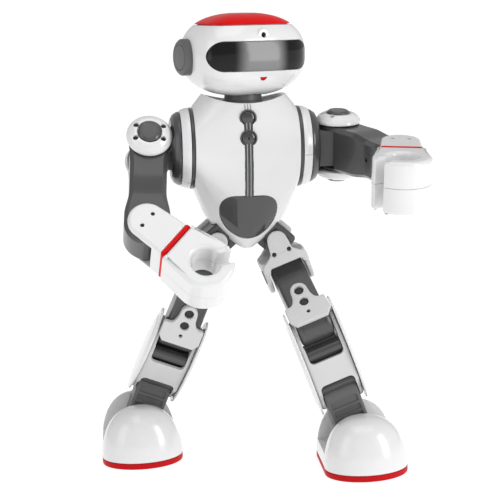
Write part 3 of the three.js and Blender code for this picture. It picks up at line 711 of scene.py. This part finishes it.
def build_torso():
    body = torso_body()
    front = skin_of(body)
    belly = belly_outline()
    scoop = rod(80, -60, 60, sides=240, centre=(0, 0, 112))
    bowl_rings = [
        [(s * 27 * powered(math.cos(t), 2.5), s * 18.5 * powered(math.sin(t), 2.5), z) for t in turns(96)]
        for s, z in ((0.2, 27.2), (0.55, 27.5), (0.8, 28.6), (0.93, 30.6), (0.985, 33), (1.01, 42))
    ]
    low, high = STRIP
    strip = rounded([(-2.9, low - 0.5), (2.9, low - 0.5), (2.9, high, 0.4), (-2.9, high, 0.4)], 3)
    strip_room = slab(offset(strip, -0.15), -60, 0, 0.01)
    strip_room = keep(strip_room, cut(copied(body), moved(copied(body), (0, 1.2, 0))))
    shell = cut(
        copied(body),
        drape(offset(belly, -0.35), lambda x, z: front(x, z) - 3, 4.3, edge=0.01, rows=10),
        strip_room,
        *[rod(5.3, -60, -20, centre=(0, 0, z), sides=64) for z in BUTTON_Z],
        scoop,
        loft(bowl_rings),
        pelvis_block(0.5, 0.5),
        rod(14.6, 10, 50, along="z"),
    )
    seam = 0.12
    fore = keep(copied(shell), box((-60, -60, -90), (60, -seam, 60), 0.01))
    aft = keep(shell, box((-60, seam, -90), (60, 60, 60), 0.01))
    put("torso_front_look", fore, "torso", "white_gloss", ["torso_front_shell"])
    door = rectangle(-17, -38, 17, 8, 3)
    notch = rounded([(-5, 5.2, 1.5), (5, 5.2, 1.5), (5, 9.5), (-5, 9.5)])
    wings = [
        moved(slab(hip_outline(0), 11.35, 14, 0.8), (way * (HIP_X + 1.5), 0, HIP_Z + 2), way * HIP_TURN)
        for way in (1, -1)
    ]
    root = box((-22, 11.35, -66), (22, 14, -52), 0.6)
    shafts = [rod(5, 0, 40, centre=(way * HIP_X, 0, HIP_Z)) for way in (1, -1)]
    rear = cut(join(cut(copied(aft), slab(door, 0, 60, 0.01)), root, *wings), *shafts)
    put("torso_rear_look", rear, "torso", "white_gloss", ["torso_rear_shell"])
    door_slab = keep(aft, slab(offset(door, 0.3), 10, 60, 0.01))
    door_slab = cut(door_slab, slab(notch, 20, 60, 0.3))
    put("battery_cover_look", door_slab, "torso", "white_gloss", ["battery_cover"])
    put("belly_panel_look", drape(belly, front, 1.3, proud=-0.05, edge=0.6, rows=12), "torso", "belly_gloss",
        ["belly_panel"])

    base = zip_bar(front, 0, 5.8, *STRIP, -0.5, 1.1)
    put("zip_base_look", base, "torso", "grey_satin", ["zip_strip"])
    for name, x, proud in (("left_edge", 2.3, 0.15), ("right_edge", -2.3, 0.15), ("middle", 0, 0.1)):
        bar = zip_bar(front, x, 1.1 if x else 1.0, *STRIP, proud, 0.9)
        put(f"zip_{name}_look", bar, "torso", "dark_satin")
    for name, x in (("left", 1.15), ("right", -1.15)):
        put(f"zip_{name}_line_look", zip_bar(front, x, 0.85, *STRIP, 0.0, 0.9), "torso", "light_grey")
    for number, x in enumerate((-1.9, 0, 1.9), 1):
        stripe = zip_bar(front, x, 1.0, BUTTON_Z[0] + 5.2, BUTTON_Z[0] + 9.2, 0.12, 0.5, rows=6)
        put(f"zip_stripe_{number}_look", stripe, "torso", "light_grey")
    for name, z in zip(("power", "mode"), BUTTON_Z):
        y = front(0, z)
        bezel = ring_of(4.75, 5.9, y - 0.5, y + 3, edge=0.35, centre=(0, 0, z))
        put(f"{name}_bezel_look", bezel, "torso", "dark_satin")
    for node, z in zip(("power_button", "mode_button"), BUTTON_Z):
        cap = button(front(0, z), z, node == "mode_button")
        put(f"{node}_look", cap, node, "belly_gloss", [node], at="torso")

    put("pelvis_look", pelvis_block(0), "torso", "dark_satin", ["pelvis_frame"])
    for side, way in zip(SIDES, (1, -1)):
        inner = slab(rectangle(-6.5, -6.5, 6.5, 6.5, 1, 3), -14.4, -13, 0.4)
        inner = moved(inner, (way * HIP_X, 0, HIP_Z), way * HIP_TURN)
        put(f"{side}_hip_servo_lid_look", inner, "torso", "servo_case")
    collar = [(9, 27), (14, 27, 0.5), (14, 32.6, 0.4), (13.2, 33.2, 0.3), (12.5, 39.5, 0.5), (9, 39.5)]
    put("neck_collar_look", turned_ring(softened(collar, 3), along="z", sides=80), "torso", "grey_satin",
        ["neck_collar"])


def button(y, z, holed):
    """A domed push button whose face stands a little proud of the torso at y, with or without a hole."""
    profile = [(0, y - 1.0), (2.2, y - 0.95), (3.6, y - 0.65), (4.3, y - 0.2, 0.3), (4.5, y + 0.4),
               (4.5, y + 4), (0, y + 4)]
    cap = lathe(softened(profile, 3), sides=56, centre=(0, 0, z))
    if holed:
        cap = cut(cap, rod(1.0, y - 3, y + 2, sides=24, centre=(0, 0, z)))
    return cap


# ---- arm ------------------------------------------------------------------------------------------
ARM_HALF = 13.3
ARM_TOP, ARM_TAPER = 14.6, 2.0
CHEEK = 15.5
ELBOW = -65.0
SHOULDER_X = 66.4


def build_shoulder():
    seal = ring_of(20, 28.2, 36.4, 38.2, along="x", edge=0.3, sides=96)
    both("shoulder_seal", seal, "shoulder", "dark_satin", ["shoulder_seal"])
    section = [(19.2, 38.6, 0.3), (28.1, 38.6, 0.5), (27.8, 41.2, 2), (26.4, 44.8, 0.8), (19.2, 44.8, 0.3)]
    collar = turned_ring(rounded(section, 4), "x", 96)
    seam = cut(ring_of(23, 31, 37, 49, along="x", edge=0.1), box((30, -60, -60), (60, -0.13, 60), 0.01),
               box((30, 0.13, -60), (60, 60, 60), 0.01))
    seam = keep(seam, box((30, -40, -60), (60, 40, 60), 0.01))
    collar = cut(collar, seam)
    both("shoulder_collar", collar, "shoulder", "white_gloss", ["shoulder_collar"])
    profile = [(0, 45.2), (25.7, 45.2, 0.3), (25.2, 46.8, 1.5), (23.4, 49.6, 3), (20.2, 51.2, 0.8),
               (0, 51.2)]
    cover = lathe(softened(profile, 4), along="x", sides=96)
    hub = rod(5, 33.6, 46, along="x")
    outline = arc(SHOULDER_X, 0, 12, -90, 90, 24) + [(50, 9.5), (50, -9.5)]
    block = slab(rounded(outline), -ARM_HALF + 0.4, ARM_HALF - 0.4, 0.5)
    sweep = rod(17, -30, 30, sides=96, centre=(SHOULDER_X, 0, 0))
    room = cut(sweep, box((0, -ARM_HALF - 0.1, -30), (90, ARM_HALF + 0.1, 30), 0.01))
    fork = cut(join(cover, hub, block), room)
    both("shoulder_fork", fork, "shoulder", "dark_satin", ["shoulder_fork"])


def eased(share):
    return share * share * (3 - 2 * share)


def arm_levels():
    """Heights down the upper arm, closer together round its two ends."""
    top = [ARM_TOP * math.cos(math.pi / 2 * i / 12) for i in range(12)]
    between = [0, -6, -12, -18, -24, -28, -30, -33, -36, -39, -42, -44, -46, -48, -50, -52, -54, -56, -58]
    bottom = [ELBOW - CHEEK * math.sin(math.pi / 2 * i / 14) for i in range(-3, 15)]
    return [ARM_TOP - 0.05, *top[1:], *between, *bottom[:-1], ELBOW - CHEEK + 0.04]


def arm_ring(z):
    """The upper arm's section at a height: a rectangle with chamfered corners, flared at the elbow."""
    if z > 0:
        half = math.sqrt(max(ARM_TOP**2 - z * z, 0.2))
    else:
        half = ARM_TOP - ARM_TAPER * eased(min(1, -z / 20))
    if z < -40:
        half += (CHEEK - half) * eased(min(1, (-40 - z) / 18))
    if z < ELBOW:
        half = math.sqrt(max(CHEEK**2 - (z - ELBOW) ** 2, 0.1))
    narrow = min(1, max(0, (-28 - z) / 17))
    deep = CHEEK - (CHEEK - ARM_HALF) * eased(narrow)
    corner = min(2.6, half * 0.6)
    corners = []
    for x, y in ((-1, -1), (1, -1), (1, 1), (-1, 1)):
        along_x = (x * (half - corner), y * deep)
        along_y = (x * half, y * (deep - corner))
        pair = (along_y, along_x) if x * y > 0 else (along_x, along_y)
        corners += [(*spot, corner * 0.35) for spot in pair]
    return [(p.x, p.y, z) for p in rounded(corners, 3)]


def build_upper_arm():
    slot = join(
        rod(12.5, -13.4, 13.4, sides=72),
        box((-30, -13.4, -12.5), (30, 13.4, 30), 0.1),
    )
    bar = loft([arm_ring(z) for z in arm_levels()])
    holes = [rod(1.5, 8, 20, "x", 24, (0, 0, -46))]
    holes.append(copied(holes[0], "x"))
    arm = cut(bar, slot, *holes)
    both("upper_arm", arm, "upper_arm", "dark_satin", ["upper_arm"])
    for end, way in (("front", -1), ("rear", 1)):
        build_cap(end, way)


def build_cap(end, way):
    """The white shoulder cap, its dark disc and four sunken screws, on one end of the arm's hinge."""
    foot, top = CHEEK + 0.35, CHEEK + 7.75
    profile = [(0, foot), (14.2, foot), (15.9, foot + 0.9, 0.8), (15.6, foot + 2.6, 2), (13.6, top - 2, 3),
               (10.6, top - 0.2, 1.2), (8.6, top - 0.2), (8.4, top - 1.6), (0, top - 1.6)]
    cap = lathe(softened(profile, 4), sides=96)
    spots = [(sx * 9.3, sz * 5.0) for sx in (-1, 1) for sz in (-1, 1)]
    cap = cut(cap, *[rod(1.9, top - 3.2, 40, sides=28, centre=(x, 0, z)) for x, z in spots])
    disc = lathe(softened([(0, top - 1.6), (8.2, top - 1.6), (7.9, top + 0.6, 0.5), (6.5, top + 1.7, 0.5),
                           (5.9, top + 1.7), (5.6, top + 1.45), (0, top + 1.6)], 3), sides=72)
    disc = cut(disc, *[rod(2.1, top - 4, 40, sides=28, centre=(x, 0, z)) for x, z in spots])
    screws = merged(*[screw_head(1.75, (x, top - 2.9, z)) for x, z in spots])
    if way < 0:
        cap, disc, screws = (copied(mesh, "y") for mesh in (cap, disc, screws))
    both(f"cap_{end}", cap, "upper_arm", "white_gloss", [f"cap_{end}"])
    both(f"cap_{end}_disc", disc, "upper_arm", "dark_satin")
    both(f"cap_{end}_screws", screws, "upper_arm", "screw_black")


def screw_head(radius, at, depth=1.2):
    """A pan screw head with a cross recess, facing +Y."""
    x, y, z = at
    head = lathe(softened([(0, -0.2), (radius, -0.2), (radius, depth * 0.6, 0.4), (0, depth)], 3), sides=28)
    arm, deep = radius * 0.62, depth * 0.45
    cross = join(
        box((-arm, deep, -0.16 * radius), (arm, 5, 0.16 * radius), 0.02),
        box((-0.16 * radius, deep, -arm), (0.16 * radius, 5, arm), 0.02),
    )
    return moved(cut(head, cross), (x, y, z))


def build_forearm():
    half, thick = 13.25, 17.0
    band_top = -22.4
    sleeve = rounded(arc(0, 0, half, 0, 180, 40) + [(-half - 1, band_top), (half + 1, band_top)])
    body = slab(sleeve, -thick, thick, 2.4, steps=5)
    body = keep(body, box((-40, -40, band_top + 0.05), (40, 40, 40), 0.01))
    reach = ARM_HALF + 0.35
    room = join(
        rod(20, -reach, reach, sides=96),
        box((-30, -reach, 0), (30, reach, 30), 0.1),
    )
    spots = [(-5.6, 0), (5.6, 0)]
    wells = [rod(1.5, -30, -thick + 1.3, sides=24, centre=(x, 0, z))
             for x, z in spots]
    wells += [copied(well, "y") for well in wells]
    both("forearm", cut(body, room, *wells), "forearm", "white_gloss", ["forearm"])
    screws = [screw_head(1.35, (x, thick - 1.25, z), 0.8) for x, z in spots]
    screws = merged(*[copied(screw, "y") for screw in screws], *screws)
    both("elbow_screws", screws, "forearm", "screw_black")
    band_half = half + 1.45
    section = rectangle(-band_half, -thick - 0.3, band_half, thick + 0.3, 2.6, 6)
    band = slab(section, band_top - 2.4, band_top - 0.05, 0.25, along="z")
    both("wrist_band", band, "forearm", "red_gloss", ["wrist_band"])
    build_hand()


def build_hand():
    """The hook hand: a ring round the grip with a mouth on one side, in two moulded halves."""
    radius, grip, width, top = 19.4, 10.0, 32.0, -24.95
    centre = -48.7
    mouth, tilt = 4.25, 52
    wrist = Vector((width / 2, top - centre))
    start = math.degrees(math.atan2(wrist.y, wrist.x) - math.acos(radius / wrist.length))
    mouth_at = -90 - tilt
    outer_gap = math.degrees(math.asin(mouth / radius))
    inner_gap = math.degrees(math.asin(mouth / grip))
    corner = 3.2
    outline = [(-width / 2, top, 0.3)]
    outline += arc(0, centre, radius, 180 - start, 360 + mouth_at - outer_gap - 7, 12)

    def spot(length, turn):
        turn = math.radians(turn)
        return (length * math.cos(turn), centre + length * math.sin(turn))

    outline.append((*spot(radius, mouth_at - outer_gap), corner))
    inner = arc(0, centre, grip, mouth_at - inner_gap, mouth_at + inner_gap - 360, 48)
    outline.append((*inner[0], 2.2))
    outline += inner[2:-2]
    outline.append((*inner[-1], 2.2))
    outline.append((*spot(radius, mouth_at + outer_gap), corner))
    outline += arc(0, centre, radius, mouth_at + outer_gap + 7, start, 44)
    outline.append((width / 2, top, 0.3))
    loop = rounded(outline, 8)
    half = slab(loop, 0.1, 17.4, 2.9, steps=6, low_edge=0.25)
    half = keep(half, box((-40, -40, -90), (40, 40, top - 0.05), 0.01))
    both("hand", merged(half, copied(half, "y")), "forearm", "white_gloss", ["hand"])


# ---- leg ------------------------------------------------------------------------------------------
YOKE = 24.4
THIGH = 50.3
SHIN = 52.1
ANKLE = 28.0


def build_hip():
    tab = rounded(
        [(7.0, 0), *arc(0, 0, 7.0, 10, 170, 20), (-7.4, -2), (-7.9, -8, 3), (-12, -11.3, 4), (-16.4, -14, 3),
         (-16.5, -21, 1.5), (-12.6, -20.6, 1), (-11.6, -17.2, 2), (11.6, -17.2, 2), (12.6, -20.6, 1),
         (16.5, -21, 1.5), (16.4, -14, 3), (12, -11.3, 4), (7.9, -8, 3), (7.4, -2)]
    )
    holes = [circle(x, -8.4, 1.55, 20) for x in (-5.6, 5.6)]
    front = slab(tab, -17, -14.4, 0.9, holes=holes, steps=4)
    pad_foot = [(-5.0, -3), (-3.4, -9, 2), (3.4, -9, 2), (5.0, -3)]
    pad = rounded([(4.8, 0), *arc(0, 0, 4.8, 10, 170, 16), *pad_foot])
    front = cut(front, slab(pad, -20, -16.75, 0.1))
    rear = copied(slab(tab, -17, -14.4, 0.9, holes=holes, steps=4), "y")
    corners = [(16.5, -8, 3), (16.5, 8, 3), (9, 16.8, 3), (-9, 16.8, 3), (-16.5, 8, 3), (-16.5, -8, 3),
               (-9, -16.8, 3), (9, -16.8, 3)]
    roof = slab(rounded(corners), -15.9, -13.0, 0.7, along="z")
    side_outline = rounded(arc(0, -YOKE, 12.4, 125, 415, 48) + [(6, -13.2, 1.5), (-6, -13.2, 1.5)])
    cheeks = [slab(side_outline, low, low + 3.1, 0.9, along="x", steps=3) for low in (-16.5, 13.4)]
    yoke = join(front, rear, roof, *cheeks)
    both("hip_yoke", yoke, "hip", "white_satin", ["hip_yoke"])
    screws = merged(*[copied(screw_head(1.4, (x, 15.3, -8.4), 0.8), "y") for x in (-5.6, 5.6)])
    both("hip_yoke_screws", screws, "hip", "screw_black")
    bosses = merged(*[pin(5.2, low, low + 0.9, 0.3, 48, (0, 0, -YOKE)) for low in (-17.1, 16.2)])
    both("hip_yoke_bosses", bosses, "hip", "dark_satin")


def link(top_radius, bottom, bottom_radius, steps=24):
    """The outline round two circles, one at the origin and one below it."""
    lean = math.degrees(math.asin((top_radius - bottom_radius) / -bottom))
    return rounded(
        arc(0, 0, top_radius, -lean, 180 + lean, steps)
        + arc(0, bottom, bottom_radius, 180 + lean, 360 - lean, steps)
    )


def build_thigh():
    body = slab(link(8.6, -THIGH, 12), -12, 12, 2.4, along="x", steps=2)
    lines = [box((x - 0.2, -30, -60), (x + 0.2, -8, -6), 0.05) for x in (-8.6, 8.6)]
    lines = [keep(line, cut(slab(link(9, -THIGH, 12.4), -14, 14, 0.1, along="x"),
                            slab(link(8.3, -THIGH, 11.7), -16, 16, 0.1, along="x"))) for line in lines]
    both("thigh", cut(body, *lines), "thigh", "dark_satin", ["thigh"])
    cover = rounded(
        [(6.0, -28.6), *arc(0, -28.6, 6.0, 8, 172, 20), (-6.0, -28.6), (-6.5, -33, 4), (-8.6, -38.4, 4),
         (-14.8, -38.5, 1.5), (-14.8, -50, 1.2), (-11.5, -54, 1.2), (11.5, -54, 1.2), (14.8, -50, 1.2),
         (14.8, -38.5, 1.5),
         (8.6, -38.4, 4), (6.5, -33, 4)]
    )
    holes = [circle(0, -28.6, 3.3), circle(0, -38.2, 3.2), circle(0, -46.4, 1.3, 20)]
    wrap = slab(cover, -15.2, -8, 0.8, holes=holes, steps=3)
    room = slab(link(8.9, -THIGH, 12.3), -40, 40, 0.01, along="x")
    both("thigh_cover", cut(wrap, room), "thigh", "white_satin", ["thigh_cover"])
    plugs = []
    for face, rim, z in ((2.6, 3.1, -28.6), (2.5, 3.0, -38.2)):
        profile = [(0, -13.4), (face, -13.2, 0.4), (rim, -12.6), (rim, -10), (0, -10)]
        plugs.append(lathe(softened(profile, 3), sides=32, centre=(0, 0, z)))
    both("thigh_cover_plugs", merged(*plugs), "thigh", "servo_case")


def build_shin():
    rail = rounded(
        arc(0, 0, 8, 0, 180, 24) + [(-13.5, -18, 4), (-13.5, -44, 4)] + arc(0, -SHIN, 8, 180, 360, 24)
        + [(11, -44, 4), (11, -18, 4)]
    )
    block = slab(rail, -15.6, 15.6, 1.8, along="x", steps=4)
    inside = box((-13, -11.1, -90), (13, 8.7, 30), 0.6)
    upper = rounded([(-12.6, -22.5, 3.5), (12.6, -22.5, 3.5), (12.6, 20), (-12.6, 20)])
    lower = rounded([(-12.6, -80), (12.6, -80), (12.6, -39.5, 3.5), (-12.6, -39.5, 3.5)])
    frame_mesh = cut(block, inside, slab(upper, -40, 40, 0.01), slab(lower, -40, 40, 0.01))
    both("shin_frame", frame_mesh, "shin", "white_satin", ["shin_frame"])
    servo = box((-12.6, -9.6, -39), (12.6, 7.4, -13.4), 1.4)
    both("shin_servo", servo, "shin", "servo_case", ["shin_servo"])
    bars = []
    for radius, y, z in ((4.2, -8.2, -17.2), (3.6, -8.4, -43.4)):
        bars.append(pin(radius, -12.5, 12.5, 0.8, 40, (0, y, z)))
    both("shin_bars", merged(*bars), "shin", "dark_satin")
    ends = [(low, z) for low in (-15.9, 15.3) for z in (0, -SHIN)]
    pivots = [pin(4.5, low, low + 0.6, 0.3, 40, (0, 0, z)) for low, z in ends]
    both("shin_pivots", merged(*pivots), "shin", "dark_satin")
    for which, way in (("inner", -1), ("outer", 1)):
        panel = leaf_panel()
        if way < 0:
            panel = copied(panel, "x")
        both(f"shin_panel_{which}", panel, "shin", "white_gloss", [f"shin_panel_{which}"])


def leaf_panel():
    """A leaf-shaped side panel with a rounded rim, a raised ridge inside it and a gently domed middle."""
    centre, half_width, half_length = Vector((-1, -23.8)), 15.4, 39.4
    levels = [
        (0.93, 15.95), (0.99, 16.0), (1.0, 16.4), (1.0, 17.0), (0.985, 17.4), (0.955, 17.65), (0.88, 17.75),
        (0.84, 17.8), (0.80, 18.15), (0.76, 18.4), (0.66, 18.62), (0.5, 18.8), (0.32, 18.9), (0.15, 18.93),
    ]
    rings = []
    for scale, height in levels:
        ring = []
        for turn in turns(96):
            u = centre.x + half_width * scale * math.cos(turn)
            v = centre.y + half_length * scale * powered(math.sin(turn), 1.85)
            ring.append((height, u, v))
        rings.append(ring)
    return loft(rings)


def build_ankle():
    steps = ((-8.5, -3.5), (-14.5, -10.5), (-20.5, -16.5))
    block = slab(link(9.2, -20, 9.6), -12.4, 12.4, 1.6, along="x", steps=2)
    tail = rod(9.6, -9.6, 9.6, sides=64, centre=(0, 0, -ANKLE))
    neck = box((-9.6, -9.6, -ANKLE), (9.6, 9.6, -18), 0.8)
    floor = box((-40, -40, -37.2), (40, 40, 40), 0.1)
    whole = keep(join(block, neck, tail), floor)
    grooves = [box((-9.8, -30, low), (9.8, -8.3, high), 0.4) for low, high in steps]
    grooves += [box((-9.8, 8.3, low), (9.8, 30, high), 0.4) for low, high in steps]
    hole = rod(1.3, -30, -7, sides=24, centre=(-8.6, 0, -22.6))
    both("ankle", cut(whole, *grooves, hole), "ankle", "grey_satin", ["ankle"])


# ---- foot -----------------------------------------------------------------------------------------
AXIS_HEIGHT, SOLE, OUTWARD, SKIRT = 24.5, 4.4, 2.5, 9
TOE_MIDDLE, TOE_LENGTH, TOE_HALF, TOE_HEIGHT = -29.0, 23.0, 28.6, 39.5
HEEL_MIDDLE, HEEL_RADIUS, HEEL_HEIGHT = 10.0, 27.0, 41.0


def dome(half_width, ahead, behind, at, height, inset=0.0, rows=40, sides=120):
    """A dome that stands on the sole, reaching ahead and behind of its middle."""
    deck = SOLE + 0.35 - AXIS_HEIGHT
    rings = []
    for row in range(rows + 1):
        up = math.pi / 2 * row / rows
        level = powered(math.sin(up), 2.1) * (height - SOLE - 0.35 - inset)
        scale = max(powered(math.cos(up), 2.6), 1e-3)
        ring = []
        for turn in turns(sides):
            along = ahead if math.sin(turn) < 0 else behind
            x = (half_width - inset) * scale * math.cos(turn) + OUTWARD
            ring.append((x, at + (along - inset) * scale * math.sin(turn), deck + level))
        rings.append(ring)
    return loft(rings)


def foot_plan(grow=0.0):
    points = []
    for i in range(41):
        turn = math.pi + math.pi * i / 40
        x = OUTWARD + (TOE_HALF + grow) * math.cos(turn)
        points.append((x, TOE_MIDDLE + (TOE_LENGTH + grow) * math.sin(turn)))
    for i in range(41):
        turn = math.pi * i / 40
        radius = HEEL_RADIUS + grow
        points.append((OUTWARD + radius * math.cos(turn), HEEL_MIDDLE + radius * math.sin(turn)))
    return rounded(points)


def foot_skin(inset=0.0):
    toe = dome(TOE_HALF, TOE_LENGTH, 34, TOE_MIDDLE, TOE_HEIGHT, inset)
    heel = dome(HEEL_RADIUS, 20, HEEL_RADIUS, HEEL_MIDDLE, HEEL_HEIGHT, inset)
    deck = SOLE + 0.35 - AXIS_HEIGHT
    skirt_rings = []
    for step in range(11):
        rise = SKIRT * step / 10
        level = (rise / (TOE_HEIGHT - SOLE)) ** 1.05
        lean = TOE_HALF * (1 - max(1 - level * level, 0) ** (0.5 * 2 / 2.6))
        skirt_rings.append([(p.x, p.y, deck + rise) for p in foot_plan(-inset - 0.05 - lean)])
    return join(toe, heel, loft(skirt_rings))


def build_foot():
    floor = -AXIS_HEIGHT
    sole = slab(foot_plan(0.2), floor, floor + SOLE, 0.5, along="z", low_edge=1.2)
    both("sole", sole, "foot", "sole_rubber", ["sole"])
    reach = 11.0
    slot = box((-60, -reach, -10.5), (60, reach, 60), 0.5)
    well = box((-14, -reach, -19.2), (14, reach, 60), 0.5)
    both("foot_shell", cut(foot_skin(), slot, well), "foot", "white_gloss", ["foot_shell"])


# ---- scene ----------------------------------------------------------------------------------------
def build_camera():
    """The photograph's view: a long lens, a little above the waist and slightly from the robot's right."""
    azimuth, elevation, roll = math.radians(-7.12), math.radians(9.97), math.radians(-2.72)
    target, distance = Vector((-0.0002, 0.0246, 0.1498)), 1.0945
    level = math.cos(elevation)
    back = Vector((math.sin(azimuth) * level, -math.cos(azimuth) * level, math.sin(elevation)))
    right = (-back).cross(UP).normalized()
    up = right.cross(-back)
    right, up = (
        right * math.cos(roll) + up * math.sin(roll),
        up * math.cos(roll) - right * math.sin(roll),
    )
    data = bpy.data.cameras.new("camera")
    data.lens, data.sensor_width = 111.7, 36
    data.clip_start, data.clip_end = 0.05, 200
    camera = bpy.data.objects.new("camera", data)
    bpy.context.scene.collection.objects.link(camera)
    turned = Matrix((right, up, back)).transposed().to_4x4()
    camera.matrix_world = Matrix.Translation(target + back * distance) @ turned
    bpy.context.scene.camera = camera


def light(name, at, towards, size, power, size_y=None):
    data = bpy.data.lights.new(name, "AREA")
    data.shape = "RECTANGLE"
    data.size, data.size_y = size, size_y or size
    data.energy = power
    lamp = bpy.data.objects.new(name, data)
    bpy.context.scene.collection.objects.link(lamp)
    lamp.location = at
    lamp.rotation_euler = (Vector(towards) - Vector(at)).to_track_quat("-Z", "Y").to_euler()


FLOOR_REACH, FLOOR_GLOW, WORLD_GLOW = 80, 0.74, 0.5


def build_stage():
    """A pale floor that runs to the horizon, a tall softbox at the robot's left, and weak fills."""
    corners = [(x * FLOOR_REACH, y * FLOOR_REACH, 0) for x, y in ((-1, -1), (1, -1), (1, 1), (-1, 1))]
    sheet = mesh_of(corners, [(0, 1, 2, 3)])
    paper = plastic("studio_paper", (0.52, 0.52, 0.52), 0.7, grain=0.0, mottle=0.004)
    shader = paper.node_tree.nodes["Principled BSDF"]
    shader.inputs["Emission Color"].default_value = (1, 1, 1, 1)
    shader.inputs["Emission Strength"].default_value = FLOOR_GLOW
    sheet.materials.append(paper)
    floor = bpy.data.objects.new("studio_floor", sheet)
    bpy.context.scene.collection.objects.link(floor)
    world = bpy.data.worlds.new("studio")
    bpy.context.scene.world = world
    world.use_nodes = True
    background = world.node_tree.nodes["Background"]
    background.inputs["Color"].default_value = (1, 1, 1, 1)
    background.inputs["Strength"].default_value = WORLD_GLOW
    centre = (0, 0, 0.16)
    light("key_right", (0.95, -0.82, 0.5), (0, 0, 0.2), 0.4, 6.5, 0.95)
    light("fill_left", (-1.3, -0.7, 0.7), centre, 0.7, 3.0, 1.2)
    light("top", (0.0, -0.3, 1.5), centre, 1.2, 4.4, 1.0)
    bpy.context.scene.view_settings.view_transform = "Standard"


build_head()
build_torso()
build_shoulder()
build_upper_arm()
build_forearm()
build_hip()
build_thigh()
build_shin()
build_ankle()
build_foot()
INNER = {"servo": "servo_case", "main_board": "board", "battery_pack": "cell_wrap"}
for name, node in frame["nodes"].items():
    kind = next((paint for word, paint in INNER.items() if word in name), None)
    if kind and not node.hide_render:
        node.data.materials.clear()
        node.data.materials.append(PAINT[kind])
build_camera()
build_stage()
